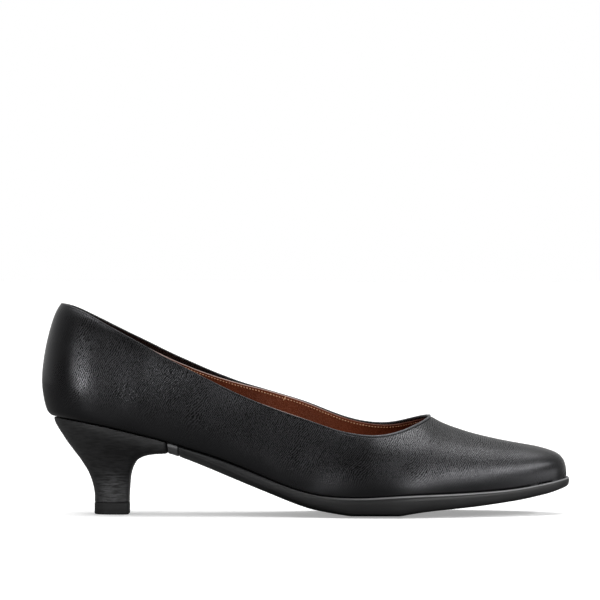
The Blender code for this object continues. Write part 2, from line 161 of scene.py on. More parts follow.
TOPLINE_HEIGHT = Table(
    "x outer inner",
    (-119, 102.7, 102.7), (-113, 101.1, 101.1), (-106, 98.3, 97.9), (-96, 92.9, 92.8),
    (-86, 87.5, 87.7), (-76, 82.0, 82.8), (-67, 77.0, 78.3), (-58, 72.3, 74.2), (-49, 67.7, 70.2),
    (-40, 63.2, 66.5), (-31, 58.9, 63.2), (-22, 55.1, 60.5), (-12, 51.4, 57.5), (-2, 48.0, 54.4),
    (6, 45.3, 51.4), (16, 42.0, 47.5), (25, 40.1, 44.9), (34, 39.3, 43.6), (42, 40.1, 43.8),
    (51, 43.0, 45.8), (56.5, 45.6, 47.3), (61, 48.3, 48.3),
)
RIDGE = Table(
    "x height side_power crown_power",
    (-60, 90.0, 2.8, 2.4), (-30, 80.5, 2.6, 2.2), (0, 71.0, 2.3, 2.0), (16, 66.0, 1.95, 1.85),
    (34, 59.6, 1.82, 1.78), (50, 52.9, 1.9, 1.85), (60.5, 47.8, 2.0, 2.0), (65.4, 45.0, 2.04, 2.1),
    (70, 43.0, 2.08, 2.15), (75, 41.2, 2.12, 2.2), (80, 39.6, 2.15, 2.25), (85, 38.2, 2.2, 2.3),
    (90, 37.0, 2.24, 2.35), (95, 35.9, 2.28, 2.4), (100, 34.9, 2.3, 2.45), (109, 33.3, 2.35, 2.55),
    (114, 32.3, 2.4, 2.6), (119, 31.1, 2.4, 2.6), (124, 30.1, 2.4, 2.6), (130, 29.0, 2.4, 2.6),
)
BULGE_SHAPE = Table(
    "up share",
    (0.0, 0.0), (0.02, 0.26), (0.05, 0.47), (0.105, 0.65), (0.16, 0.77), (0.21, 0.86), (0.26, 0.93),
    (0.32, 0.98), (0.40, 1.0), (0.47, 0.98), (0.53, 0.945), (0.63, 0.86), (0.74, 0.72),
    (0.84, 0.55), (0.92, 0.36), (0.97, 0.17), (1.0, 0.0),
)
BULGE = Table(
    "x depth quarter_share",
    (-121.8, 7.3, 1.0), (-112, 6.9, 1.0), (-92, 5.0, 1.0), (-60, 3.2, 1.0), (-45, 2.8, 0.97),
    (-30, 2.6, 0.85), (-10, 2.4, 0.5), (10, 2.2, 0.15), (25, 2.0, 0.03), (40, 2.0, 0.0),
    (126.8, 2.0, 0.0),
)
COLUMNS = Table(
    "feather_x topline_x spacing",
    (-121.8, -118.1, 3.4), (-112, -110, 3.6), (-92, -92.5, 5.0), (-60, -61, 7.0), (-30, -31, 7.5),
    (0, -3, 7.5), (20, 14, 7.0), (36, 26, 6.5), (52, 36, 6.5), (68, 43.5, 6.5), (84, 49.5, 6.0),
    (100, 54, 5.0), (112, 56.8, 4.0), (120, 58.2, 3.0), (125, 59.3, 2.2), (126.8, 60.0, 2.0),
)
SOLE = Table(
    "x height rise reach",
    (-66, 29.9, 3.6, 0.0), (-61, 28.4, 3.6, 0.0), (-55, 26.2, 3.5, 0.0), (-45, 22.2, 3.3, 0.1),
    (-35, 18.0, 3.1, 0.2), (-25, 13.9, 2.9, 0.3), (-15, 9.9, 2.7, 0.5), (-7, 6.7, 2.5, 0.7),
    (-2, 4.9, 2.4, 0.8), (3, 3.4, 2.3, 0.9), (8, 2.3, 2.2, 1.0), (13, 1.4, 2.1, 1.1), (18, 0.6, 2.0, 1.2),
    (23, 0.0, 2.0, 1.2), (34, 0.0, 2.0, 1.2), (45, 0.0, 1.9, 1.2), (51, 0.9, 1.8, 1.2),
    (57, 1.8, 1.7, 1.2), (65, 2.7, 1.6, 1.2), (75, 3.6, 1.5, 1.2), (84, 4.5, 1.4, 1.2),
    (94, 5.8, 1.3, 1.2), (104, 7.3, 1.1, 1.2), (113, 9.1, 0.9, 1.2), (119, 10.5, 0.7, 1.2),
    (124, 12.1, 0.5, 1.2), (130, 14.4, 0.3, 1.2),
)
SOLE_EDGE = Table(
    "step reach down",
    (0, -0.5, 0.0), (1, 0.0, 0.12), (2, 0.15, 0.45), (3, -0.1, 0.8), (4, -0.8, 1.0),
)
HEEL = Table(
    "level back_x back_z front_x front_z half rounded power hollow",
    (0, -121.6, 45.6, -66.0, 33.4, 24.8, 0.54, 16.0, 0.0),
    (1, -120.9, 43.9, -66.0, 31.2, 24.1, 0.54, 12.0, 0.1),
    (2, -119.7, 41.8, -66.5, 29.9, 22.9, 0.54, 9.0, 0.4),
    (3, -117.6, 38.5, -71.6, 29.4, 21.0, 0.54, 7.0, 0.8),
    (4, -115.5, 35.3, -75.9, 28.5, 18.9, 0.54, 5.5, 1.2),
    (5, -113.2, 32.2, -79.0, 27.0, 16.8, 0.54, 5.0, 1.5),
    (6, -111.0, 29.3, -81.1, 25.0, 14.8, 0.54, 5.0, 1.6),
    (7, -108.9, 26.5, -82.5, 22.6, 13.1, 0.53, 5.0, 1.6),
    (8, -107.0, 23.6, -83.3, 20.4, 11.6, 0.52, 5.0, 1.5),
    (9, -105.3, 20.7, -83.8, 18.2, 10.4, 0.51, 5.0, 1.4),
    (10, -103.8, 17.0, -84.1, 15.5, 9.3, 0.50, 5.0, 1.3),
    (11, -102.7, 13.0, -84.4, 12.3, 8.6, 0.49, 5.0, 1.2),
    (12, -102.2, 9.4, -84.6, 9.2, 8.3, 0.48, 5.0, 1.1),
    (13, -102.2, 6.0, -84.7, 6.0, 8.2, 0.48, 5.0, 1.0),
)
# Listed troughs (depth below 0) and ridges (above 0) of the leather, one row each: the side of the
# foot, the place along it, the share of the way up, its length, width and slant, and how far it moves
# the leather.
CREASES = Table(
    "side x up long wide slant depth",
    (-1, -92, 0.52, 26, 7, 84, -0.40), (-1, -78, 0.55, 22, 7, 78, 0.28),
    (-1, -58, 0.50, 24, 8, 66, -0.22), (-1, -40, 0.62, 26, 7, 60, 0.18),
    (-1, 24, 0.72, 14, 2.6, 28, -0.18), (-1, 33, 0.62, 16, 3.0, 22, 0.14),
    (-1, 44, 0.50, 15, 2.6, 16, -0.16), (-1, 12, 0.40, 18, 5, 40, -0.20),
    (1, -90, 0.50, 26, 7, 84, -0.40), (1, -70, 0.55, 22, 8, 76, 0.25),
    (1, -30, 0.45, 26, 7, 55, -0.30), (1, 22, 0.70, 15, 2.6, 26, -0.20),
    (1, 36, 0.60, 16, 3.0, 20, 0.14), (1, 48, 0.48, 15, 2.6, 14, -0.18),
)
# How high over the bed the grain is pulled smooth along the feather.
CALM = Table("x reach", (-110, 12), (-60, 13), (20, 9), (60, 8), (100, 12))
# Raised fold of the rim, groove below it, and how far the lining's cut edge lies under the rim.
RIM = Table(
    "x fold groove drop_outer drop_inner",
    (-120, 0.05, 0.00, 0.80, 1.50), (-104, 0.06, 0.02, 0.00, 2.40), (-90, 0.07, 0.02, -0.14, 3.00),
    (-60, 0.08, 0.03, -0.12, 3.20), (-46, 0.09, 0.04, -0.05, 2.20), (-32, 0.10, 0.05, -0.05, 0.90),
    (10, 0.12, 0.08, -0.15, 0.75), (24, 0.24, 0.28, 0.10, 0.75),
    (36, 0.42, 0.50, 0.60, 0.75), (48, 0.50, 0.60, 0.90, 0.90), (61, 0.50, 0.60, 1.00, 1.00),
)


def closing(x: Array, start: float, tip: float, power: float, root: float) -> Array:
    """Share of the width left where an outline rounds off: the root of 1 - (way to the tip)^power."""
    way = np.clip((x - start) / (tip - start), 0, 1)
    return (1 - way**power) ** (1 / root)


def path_lengths(points: Array) -> Array:
    """Length along a path at each of its points: the sum of the steps before it."""
    steps = np.linalg.norm(np.diff(points, axis=0), axis=1)
    return np.concatenate([[0], np.cumsum(steps)])


def sample(points: Array, along: Array, wanted: Array) -> Array:
    """Points of a path at the wanted places along it, straight between its own points."""
    return np.stack([np.interp(wanted, along, points[:, k]) for k in range(points.shape[1])], axis=1)


def unit(vectors: Array) -> Array:
    """The vectors, each divided by its length."""
    return vectors / np.maximum(np.linalg.norm(vectors, axis=-1, keepdims=True), 1e-9)


def ramp(values: Array, start: float, end: float) -> Array:
    """Share of the way from start to end, held at 0 and 1."""
    return np.clip((values - start) / (end - start), 0, 1)


def flattened(ring: Array) -> Array:
    """The ring drawn in to its own middle line: each point meets the one across from it."""
    flat = ring.copy()
    flat[:, 1] = (ring[:, 1] + ring[::-1, 1]) / 2
    return flat


def bell(distance: Array, width: float) -> Array:
    """Smooth hump of height 1: e to the power of minus the squared share of the width."""
    return np.exp(-((distance / width) ** 2))


def grid_faces(rows: int, across: int, loop_rows: bool, loop_across: bool = True) -> Array:
    """Quads between neighbours of a grid whose points lie row by row.

    Args:
        rows: How many rows there are.
        across: How many points a row holds.
        loop_rows: Whether the last row joins the first.
        loop_across: Whether the last point of a row joins the first.

    Returns:
        Four point numbers for each quad.
    """
    first = np.arange(rows if loop_rows else rows - 1)[:, None]
    place = np.arange(across if loop_across else across - 1)[None, :]
    after = (first + 1) % rows
    beside = (place + 1) % across
    corners = (first * across + place, first * across + beside,
               after * across + beside, after * across + place)
    return np.stack(corners, axis=-1).reshape(-1, 4)


@dataclass
class Last:
    """The foot form all pieces follow: feather outline, topline and the wall between them."""

    seat_back: float = -121.8
    seat_round: float = -92.0
    seat_power: float = 2.2
    toe_tip: float = 126.8
    toe_round: float = 60.0
    throat: float = 60.0
    throat_round: float = 28.0
    throat_root: float = 1.8
    middle_share: float = 0.35
    collar_back: float = -118.1
    collar_round: float = -70.0
    collar_root: float = 1.9
    topline_power: float = 2.0
    tip_power: float = 24.0
    ridge_tilt: float = 0.07
    centre: tuple[float, float] = (-0.2, -0.71)
    side_columns: int = 280
    dense: int = 2400

    def bed(self, x: Array) -> Array:
        """Height of the line where the upper meets the sole."""
        return BED.smooth("height", x)

    def rounded_stations(self, back: float, tip: float) -> Array:
        """Places from back to tip, closer at both ends: half of 1 - cosine."""
        return back + (tip - back) * (1 - np.cos(np.linspace(0, np.pi, self.dense))) / 2

    def feather_side(self, side: Side, grow: float = 0.0) -> Array:
        """Points of one side of the feather outline, grown outwards, from back to toe tip.

        Args:
            side: Which side of the foot.
            grow: How far outside the feather line.

        Returns:
            X and Y of each point: half the width times the two end roundings, from the middle line.
        """
        back = self.seat_back - grow
        tip = self.toe_tip + grow
        x = self.rounded_stations(back, tip)
        outer = FEATHER.smooth("outer", x) + grow
        inner = FEATHER.smooth("inner", x) + grow
        root = RIDGE.smooth("side_power", self.toe_tip)
        share = closing(x, self.seat_round, back, self.seat_power, self.seat_power)
        share = share * closing(x, self.toe_round, tip, self.tip_power, root)
        return np.stack([x, (inner - outer) / 2 + side.value * (inner + outer) / 2 * share], axis=1)

    def topline_side(self, side: Side) -> Array:
        """Points of one side of the topline, from the back to the throat, found as the feather's are.

        Args:
            side: Which side of the foot.

        Returns:
            The points, each at its own side's height, which eases to the mean of both at the middle line.
        """
        x = self.rounded_stations(self.collar_back, self.throat)
        outer = TOPLINE.smooth("outer", x)
        inner = TOPLINE.smooth("inner", x)
        share = closing(x, self.collar_round, self.collar_back, self.topline_power, self.collar_root)
        share = share * closing(x, self.throat_round, self.throat, self.topline_power, self.throat_root)
        y = (inner - outer) / 2 + side.value * (inner + outer) / 2 * share
        own = np.sin(np.pi / 2 * np.clip(share / self.middle_share, 0, 1)) * side.value
        low, high = TOPLINE_HEIGHT.smooth("outer", x), TOPLINE_HEIGHT.smooth("inner", x)
        return np.stack([x, y, (low + high) / 2 + (high - low) / 2 * own], axis=1)

    def column_shares(self, side: Side) -> Array:
        """Share of the feather's length at each column, closer together where the outline turns."""
        points = self.feather_side(side)
        along = path_lengths(points)
        spacing = np.interp(points[:, 0], COLUMNS.along, COLUMNS.columns["spacing"])
        count = np.concatenate([[0], np.cumsum(np.diff(along) / spacing[1:])])
        return np.interp(np.linspace(0, count[-1], self.side_columns + 1), count, along) / along[-1]

    def feather_columns(self, side: Side, grow: float = 0.0) -> Array:
        """Points of one side of the grown feather outline, one for each column."""
        points = self.feather_side(side, grow)
        along = path_lengths(points)
        return sample(points, along, self.column_shares(side) * along[-1])

    def topline_columns(self, side: Side) -> Array:
        """Points of one side of the topline, matched to the feather's columns."""
        feather = self.feather_side(side)
        feather_along = path_lengths(feather)
        topline = self.topline_side(side)
        along = path_lengths(topline[:, :2])
        here = np.interp(COLUMNS.along, feather[:, 0], feather_along)
        there = np.interp(COLUMNS.columns["topline_x"], topline[:, 0], along)
        wanted = self.column_shares(side) * feather_along[-1]
        return sample(topline, along, steady_curve(here, there, wanted))

    def ring(self, outer: Array, inner: Array) -> Array:
        """One loop round the shoe: the outer side from back to toe, then the inner side back again."""
        return np.concatenate([outer, inner[-2:0:-1]], axis=0)

    def feather_ring(self, grow: float = 0.0) -> Array:
        """Loop of the grown feather outline, X and Y of each column."""
        return self.ring(self.feather_columns(Side.OUTER, grow), self.feather_columns(Side.INNER, grow))

    def bed_ring(self, grow: float, above: float) -> Array:
        """Loop of the grown feather outline at a height over the bed."""
        plan = self.feather_ring(grow)
        return np.concatenate([plan, self.bed(plan[:, 0])[:, None] + above], axis=1)

    def dome(self, x: Array, y: Array) -> Array:
        """Height of the last over the forepart.

        Args:
            x: Places along the foot.
            y: Places across it.

        Returns:
            Bed plus the ridge's rise times the crown root of 1 - across^side_power - along^tip_power.
        """
        outer = FEATHER.smooth("outer", x)
        inner = FEATHER.smooth("inner", x)
        across = (y - (inner - outer) / 2) / ((inner + outer) / 2)
        along = np.clip((x - self.toe_round) / (self.toe_tip - self.toe_round), 0, 1)
        out = np.clip(np.abs(across) ** RIDGE.smooth("side_power", x) + along**self.tip_power, 0, 1)
        rise = (RIDGE.smooth("height", x) - self.bed(x)) * (1 + self.ridge_tilt * across)
        return self.bed(x) + rise * (1 - out) ** (1 / RIDGE.smooth("crown_power", x))

    def in_metres(self, points: Array) -> Array:
        """The points in metres, moved to the solids' frame."""
        return (points + np.array([*self.centre, 0.0])) * MM

    def points_of(self, piece: Piece) -> Array:
        """A piece's points in millimetres, moved back to the last's own frame."""
        flat = np.empty(len(piece.data.vertices) * 3)
        piece.data.vertices.foreach_get("co", flat)
        return flat.reshape(-1, 3) / MM - np.array([*self.centre, 0.0])


class Wall:
    """Outer surface of the upper as columns round the shoe and shares of the way up."""

    dome_power = 2.0
    dome_power_gain = 0.4
    rim_strip = 0.03
    tangent_step = 0.004

    def __init__(self, last: Last) -> None:
        """Works out what each column needs: its foot, its top, its outward direction and its blend.

        Args:
            last: The foot form.
        """
        self.last = last
        self.foot = last.feather_ring()
        self.top = last.ring(last.topline_columns(Side.OUTER), last.topline_columns(Side.INNER))
        ahead = np.roll(self.foot, -1, axis=0) - np.roll(self.foot, 1, axis=0)
        self.outward = unit(np.stack([ahead[:, 1], -ahead[:, 0]], axis=1))
        self.side = np.where(np.arange(len(self.foot)) <= last.side_columns, -1, 1)
        self.base = last.bed(self.foot[:, 0])
        self.depth = BULGE.steady("depth", self.foot[:, 0])
        self.quarter = BULGE.steady("quarter_share", self.foot[:, 0])
        self.power = self.dome_power + self.dome_power_gain * np.clip(self.foot[:, 0] / last.toe_tip, 0, 1)
        self.lift = self.top[:, 2] - last.dome(self.top[:, 0], self.top[:, 1])
        near = self.at(np.array([[1 - self.rim_strip, 1.0]]).repeat(len(self.foot), axis=0))
        self.rim_scale = np.linalg.norm(near[:, 1] - near[:, 0], axis=1) / self.rim_strip

    def at(self, up: Array) -> Array:
        """Points of the surface.

        Args:
            up: Share of the way from feather to topline, one row for each column.

        Returns:
            The quarter's wall (a straight line plus a bulge) and the forepart's dome, mixed by the column.
        """
        start = self.foot[:, None, :]
        reach = self.top[:, None, :2] - start
        shape = BULGE_SHAPE.steady("share", up)
        bulge = self.outward[:, None, :] * (self.depth[:, None] * shape)[..., None]
        wall = start + reach * up[..., None] + bulge
        wall_height = self.base[:, None] + (self.top[:, 2] - self.base)[:, None] * up
        inward = up ** self.power[:, None]
        dome = start + reach * inward[..., None]
        dome_height = self.last.dome(dome[..., 0], dome[..., 1]) + self.lift[:, None] * inward**2
        share = self.quarter[:, None]
        plan = wall * share[..., None] + dome * (1 - share[..., None])
        return np.concatenate([plan, (wall_height * share + dome_height * (1 - share))[..., None]], axis=2)

    def frame_at(self, up: Array) -> tuple[Array, Array, Array]:
        """Points, outward normals and upward tangents of the surface.

        Args:
            up: Share of the way up, one row for each column.

        Returns:
            The points, the cross product of the steps round and up, and the unit step up.
        """
        points = self.at(up)
        above = self.at(np.clip(up + self.tangent_step, 0, 1))
        below = self.at(np.clip(up - self.tangent_step, 0, 1))
        rising = unit(above - below)
        round_step = np.roll(points, -1, axis=0) - np.roll(points, 1, axis=0)
        return points, unit(np.cross(round_step, rising)), rising

    def share_below_rim(self, distance: Array) -> Array:
        """Share of the way up at a distance under the rim, one row for each column."""
        distance = np.broadcast_to(distance, (len(self.foot), np.shape(distance)[-1]))
        return 1 - distance / self.rim_scale[:, None]


MERGE_METRES = 0.000002
COLLAPSE_METRES = 0.000001


def make_piece(name: str, points: Array, faces: Array, material: Material, sharp: float) -> Piece:
    """One smooth mesh object, its doubles merged and its faces turned outwards.

    Args:
        name: The piece's name.
        points: Its points in metres.
        faces: Point numbers of its faces.
        material: Its finish.
        sharp: Angle in degrees past which an edge stays sharp.

    Returns:
        The object, at the origin.
    """
    data = bpy.data.meshes.new(name)
    data.from_pydata(points.tolist(), [], faces.tolist())
    mesh = bmesh.new()
    mesh.from_mesh(data)
    bmesh.ops.remove_doubles(mesh, verts=mesh.verts, dist=MERGE_METRES)
    bmesh.ops.dissolve_degenerate(mesh, edges=mesh.edges, dist=COLLAPSE_METRES)
    bmesh.ops.recalc_face_normals(mesh, faces=mesh.faces)
    mesh.to_mesh(data)
    mesh.free()
    data.materials.append(material)
    data.shade_smooth()
    data.set_sharp_from_angle(angle=np.radians(sharp))
    piece = bpy.data.objects.new(name, data)
    bpy.context.scene.collection.objects.link(piece)
    return piece


def add_mask(piece: Piece, name: str, values: Array) -> None:
    """Keeps one number a point on the piece, for its material to read."""
    attribute = piece.data.attributes.new(name, "FLOAT", "POINT")
    attribute.data.foreach_set("value", np.asarray(values, dtype=np.float32))


def add_grid_mask(piece: Piece, name: str, values: Array) -> None:
    """Keeps a mask worked out on the piece's own grid, if none of the grid's points were merged."""
    if len(piece.data.vertices) == values.size:
        add_mask(piece, name, values.reshape(-1))
    else:
        LOG.warning("%s: points were merged, so it has no mask %s", piece.name, name)


def skin_rows(name: str, last: Last, rows: Array, material: Material, sharp: float,
              loop: bool = False) -> Piece:
    """Piece whose skin joins rows of points.

    Args:
        name: The piece's name.
        last: The foot form, whose frame the points are in.
        rows: Points in millimetres, row by row, each row a loop.
        material: Its finish.
        sharp: Angle in degrees past which an edge stays sharp.
        loop: Whether the last row joins the first.

    Returns:
        The object.
    """
    faces = grid_faces(len(rows), rows.shape[1], loop)
    return make_piece(name, last.in_metres(rows.reshape(-1, 3)), faces, material, sharp)


def bead_angles(rings: int, spokes: int) -> tuple[Array, Array]:
    """Angles of a bead's points, ring by ring: the way from end to end, and the turn round it."""
    turn = np.linspace(0, 2 * np.pi, spokes + 1)[:-1]
    return tuple(np.meshgrid(np.linspace(0, np.pi, rings), turn, indexing="ij"))


def dress(piece: Piece, slot: str, *nodes: str) -> None:
    """Lets a piece ride on the body, hides the solids it stands for, and reports it."""
    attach(piece, "root")
    if nodes:
        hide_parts(*nodes)
    LOG.info("%s: %d faces", piece.name, len(piece.data.polygons))


class Tree:
    """Short calls that add shader nodes to a tree and link them."""

    def __init__(self, tree: bpy.types.NodeTree) -> None:
        """Takes over an empty tree."""
        self.tree = tree

    def put(self, node: Node, key: str | int, value: object) -> None:
        """Links a socket to a node's input, or sets the input's own value."""
        if isinstance(value, Socket):
            self.tree.links.new(value, node.inputs[key])
        else:
            node.inputs[key].default_value = value

    def add(self, kind: str, inputs: dict[str | int, object] | None = None, **settings: object) -> Node:
        """Adds one node.

        Args:
            kind: The node's type, without the ShaderNode before it.
            inputs: Values or sockets for its inputs, by name or number.
            settings: Values for the node's own settings.

        Returns:
            The node.
        """
        node = self.tree.nodes.new("ShaderNode" + kind)
        for name, value in settings.items():
            setattr(node, name, value)
        for key, value in (inputs or {}).items():
            self.put(node, key, value)
        return node

    def maths(self, operation: str, first: object, second: object, third: object = 0.0) -> Socket:
        """Result of one sum."""
        return self.add("Math", {0: first, 1: second, 2: third}, operation=operation).outputs[0]

    def fit(self, value: object, low: float, high: float, to_low: float = 0.0,
            to_high: float = 1.0) -> Socket:
        """The value carried smoothly from one range to another and held at its ends."""
        inputs = {"Value": value, "From Min": low, "From Max": high, "To Min": to_low, "To Max": to_high}
        return self.add("MapRange", inputs, interpolation_type="SMOOTHSTEP").outputs["Result"]

    def mix(self, share: object, first: Colour | Socket, second: Colour | Socket) -> Socket:
        """One colour turning into another."""
        node = self.add("Mix", {0: share}, data_type="RGBA")
        for number, colour in ((6, first), (7, second)):
            self.put(node, number, colour if isinstance(colour, Socket) else (*colour, 1.0))
        return node.outputs[2]

    def mask(self, name: str) -> Socket:
        """The number that a piece keeps at each point under this name."""
        return self.add("Attribute", attribute_name=name).outputs["Fac"]

    def surface(self, shader: Node, colour: Socket, tone: Socket, height: Socket, depth: float) -> None:
        """Gives a shader its colour, made lighter or darker by a tone, and its bump.

        Args:
            shader: The Principled shader.
            colour: The colour before its tone.
            tone: What the colour's value is multiplied by.
            height: The heights of the surface, from 0 to about 1.
            depth: How deep a height of 1 is, in millimetres.
        """
        toned = self.add("HueSaturation", {"Color": colour, "Value": tone})
        bump = self.add("Bump", {"Height": height, "Distance": depth * MM, "Strength": 1.0})
        self.put(shader, "Base Color", toned.outputs[0])
        self.put(shader, "Normal", bump.outputs[0])


def new_group(name: str, inputs: dict[str, float | None],
              outputs: tuple[str, ...]) -> tuple[NodeTree, Tree, Node, Node]:
    """Empty node group with named sockets.

    Args:
        name: The group's name.
        inputs: Default of each input, or None for a vector.
        outputs: Names of its outputs, all values.

    Returns:
        The group, its short calls, its input node and its output node.
    """
    tree = bpy.data.node_groups.new(name, "ShaderNodeTree")
    for key, default in inputs.items():
        kind = "NodeSocketVector" if default is None else "NodeSocketFloat"
        socket = tree.interface.new_socket(name=key, in_out="INPUT", socket_type=kind)
        if default is not None:
            socket.default_value = default
    for key in outputs:
        tree.interface.new_socket(name=key, in_out="OUTPUT", socket_type="NodeSocketFloat")
    return tree, Tree(tree), tree.nodes.new("NodeGroupInput"), tree.nodes.new("NodeGroupOutput")


# The range in which most of a noise texture's values lie.
NOISE_MIDDLE = (0.3, 0.7)


@dataclass(frozen=True)
class Effects:
    """The node groups that several finishes share."""

    pebble: NodeTree
    mottle: NodeTree
    streaks: NodeTree

    @staticmethod
    def pebble_group() -> NodeTree:
        """Grain of small rounded pebbles, or of fine creases side by side.

        Returns:
            A group that bends the place by noise, then mixes two heights by the share "Lined": each cell
            raised from its edge, and waves across the bent place, broken by noise. A mask calms both.
        """
        waves_per_scale, broken_per_cell, fine_per_cell = 0.314, 1.25, 2.6
        broken_share, fine_share = 2.4, 0.2
        ridge_low, ridge_high, pebble_edge = 1.3, 2.15, 0.34
        inputs = {"Vector": None, "Cells": 900.0, "Bend": 0.002, "Bend Scale": 95.0, "Lined": 0.0,
                  "Calm": 0.0}
        tree, make, given, out = new_group("leather_pebble", inputs, ("Height", "Pit"))
        vector, count = given.outputs["Vector"], given.outputs["Cells"]
        bend = make.add("TexNoise", {"Vector": vector, "Scale": given.outputs["Bend Scale"], "Detail": 1.0})
        middle = (0.5, 0.5, 0.5)
        centred = make.add("VectorMath", {0: bend.outputs["Color"], 1: middle}, operation="SUBTRACT")
        pull = {0: centred.outputs[0], "Scale": given.outputs["Bend"]}
        push = make.add("VectorMath", pull, operation="SCALE").outputs[0]
        place = make.add("VectorMath", {0: vector, 1: push}, operation="ADD").outputs[0]
        cells = make.add("TexVoronoi", {"Vector": place, "Scale": count}, feature="DISTANCE_TO_EDGE")
        wave_scale = make.maths("MULTIPLY", count, waves_per_scale)
        waves = make.add("TexWave", {"Vector": place, "Scale": wave_scale, "Distortion": 5.0, "Detail": 2.0,
                                     "Detail Scale": 2.0}, bands_direction="X")
        broken_scale = make.maths("MULTIPLY", count, broken_per_cell)
        broken = make.add("TexNoise", {"Vector": place, "Scale": broken_scale, "Detail": 2.0})
        both = make.maths("MULTIPLY_ADD", broken.outputs["Fac"], broken_share, waves.outputs["Fac"])
        ridged = make.fit(both, ridge_low, ridge_high)
        pebbled = make.fit(cells.outputs["Distance"], 0.0, pebble_edge)
        raised = make.mix(given.outputs["Lined"], pebbled, ridged)
        fine_scale = make.maths("MULTIPLY", count, fine_per_cell)
        fine = make.add("TexNoise", {"Vector": vector, "Scale": fine_scale, "Detail": 3.0})
        height = make.maths("MULTIPLY_ADD", fine.outputs["Fac"], fine_share, raised)
        strength = make.maths("SUBTRACT", 1.0, given.outputs["Calm"])
        make.put(out, "Height", make.maths("MULTIPLY", height, strength))
        make.put(out, "Pit", make.maths("MULTIPLY", make.maths("SUBTRACT", 1.0, raised), strength))
        return tree

    @staticmethod
    def mottle_group() -> NodeTree:
        """Slow cloudy change of tone and gloss over a surface.

        Returns:
            A group that puts out a cloud mask of slow noise, and a tone that it moves up and down from 1.
        """
        inputs = {"Vector": None, "Patches": 60.0, "Amount": 0.15}
        tree, make, given, out = new_group("slow_mottle", inputs, ("Tone", "Cloud"))
        vector, patches = given.outputs["Vector"], given.outputs["Patches"]
        wide = make.add("TexNoise", {"Vector": vector, "Scale": patches, "Detail": 4.0})
        cloud = make.fit(wide.outputs["Fac"], *NOISE_MIDDLE)
        spread = make.maths("MULTIPLY_ADD", cloud, 2.0, -1.0)
        make.put(out, "Tone", make.maths("MULTIPLY_ADD", spread, given.outputs["Amount"], 1.0))
        make.put(out, "Cloud", cloud)
        return tree

    @staticmethod
    def streaks_group() -> NodeTree:
        """Fine level streaks, as on a stacked or brushed edge.

        Returns:
            A group that reads noise drawn out along the floor, so that it changes with height.
        """
        inputs = {"Vector": None, "Lines": 900.0, "Length": 0.04}
        tree, make, given, out = new_group("level_streaks", inputs, ("Height",))
        parts = make.add("SeparateXYZ", {0: given.outputs["Vector"]})
        drawn = [make.maths("MULTIPLY", parts.outputs[k], given.outputs["Length"]) for k in (0, 1)]
        place = make.add("CombineXYZ", {0: drawn[0], 1: drawn[1], 2: parts.outputs[2]})
        count = given.outputs["Lines"]
        lines = make.add("TexNoise", {"Vector": place.outputs[0], "Scale": count, "Detail": 3.0})
        make.put(out, "Height", make.fit(lines.outputs["Fac"], *NOISE_MIDDLE))
        return tree

    @classmethod
    def build(cls) -> "Effects":
        """Makes all the groups."""
        return cls(cls.pebble_group(), cls.mottle_group(), cls.streaks_group())


def new_material(name: str) -> tuple[Material, Tree, Node, Socket]:
    """Empty material.

    Args:
        name: The material's name.

    Returns:
        The material, its short calls, its Principled shader and the place on the object.
    """
    material = bpy.data.materials.new(name)
    material.use_nodes = True
    shader = material.node_tree.nodes["Principled BSDF"]
    make = Tree(material.node_tree)
    return material, make, shader, make.add("TexCoord").outputs["Object"]


@dataclass(frozen=True)
class LeatherFinish:
    """Grained leather: pebbles or creases, slow mottle, and masks that calm the grain and tint an edge, which
    is a real cut edge on the lining and a painted highlight on the black leather's fold.
    """

    name: str
    colour: Colour
    pit_colour: Colour
    roughness: float
    rough_spread: float
    cells: float
    grain_depth: float
    specular: float
    lined: float = 0.0
    lean: float = 0.0
    calm_mask: str = ""
    edge_and_highlight_mask: str = ""
    edge_and_highlight_colour: Colour = (0.0, 0.0, 0.0)
    tint: Colour = (1.0, 1.0, 1.0)
    pit_dull: float = 0.8
    pit_rough: float = 0.12
    calm_dull: float = 0.0
    bend: tuple[float, float] = (0.002, 0.010)
    bend_scale: tuple[float, float] = (95.0, 40.0)
    patches: float = 45.0
    mottled: float = 0.12

    def build(self, effects: Effects) -> Material:
        """Makes the material.

        Args:
            effects: The shared node groups.

        Returns:
            The material, with colour, roughness and bump all read from the grain and the mottle.
        """
        material, make, shader, place = new_material(self.name)
        turned = (0.0, np.radians(self.lean), 0.0)
        drawn = make.add("Mapping", {"Vector": place, "Rotation": turned}, vector_type="TEXTURE").outputs[0]
        calm = make.mask(self.calm_mask) if self.calm_mask else 0.0
        bend, bend_scale = (few + (many - few) * self.lined for few, many in (self.bend, self.bend_scale))
        inputs = {"Vector": drawn, "Cells": self.cells, "Bend": bend, "Bend Scale": bend_scale,
                  "Lined": self.lined, "Calm": calm}
        grain = make.add("Group", inputs, node_tree=effects.pebble)
        mottle = make.add("Group", {"Vector": place, "Patches": self.patches, "Amount": self.mottled},
                          node_tree=effects.mottle)
        pit = grain.outputs["Pit"]
        skin = make.mix(pit, self.colour, self.pit_colour)
        # Tint along a masked edge: the lining's pale cut edge, and a painted highlight on the black leather's
        # fold.
        if self.edge_and_highlight_mask:
            skin = make.mix(make.mask(self.edge_and_highlight_mask), skin, self.edge_and_highlight_colour)
        make.surface(shader, skin, mottle.outputs["Tone"], grain.outputs["Height"], self.grain_depth)
        rough = make.fit(mottle.outputs["Cloud"], 0.0, 1.0, self.roughness - self.rough_spread,
                         self.roughness + self.rough_spread)
        make.put(shader, "Roughness", make.maths("MULTIPLY_ADD", pit, self.pit_rough, rough))
        shine = make.maths("MULTIPLY_ADD", pit, -self.pit_dull * self.specular, self.specular)
        kept = make.maths("MULTIPLY_ADD", calm, -self.calm_dull, 1.0)
        make.put(shader, "Specular IOR Level", make.maths("MULTIPLY", shine, kept))
        make.put(shader, "Specular Tint", (*self.tint, 1.0))
        return material


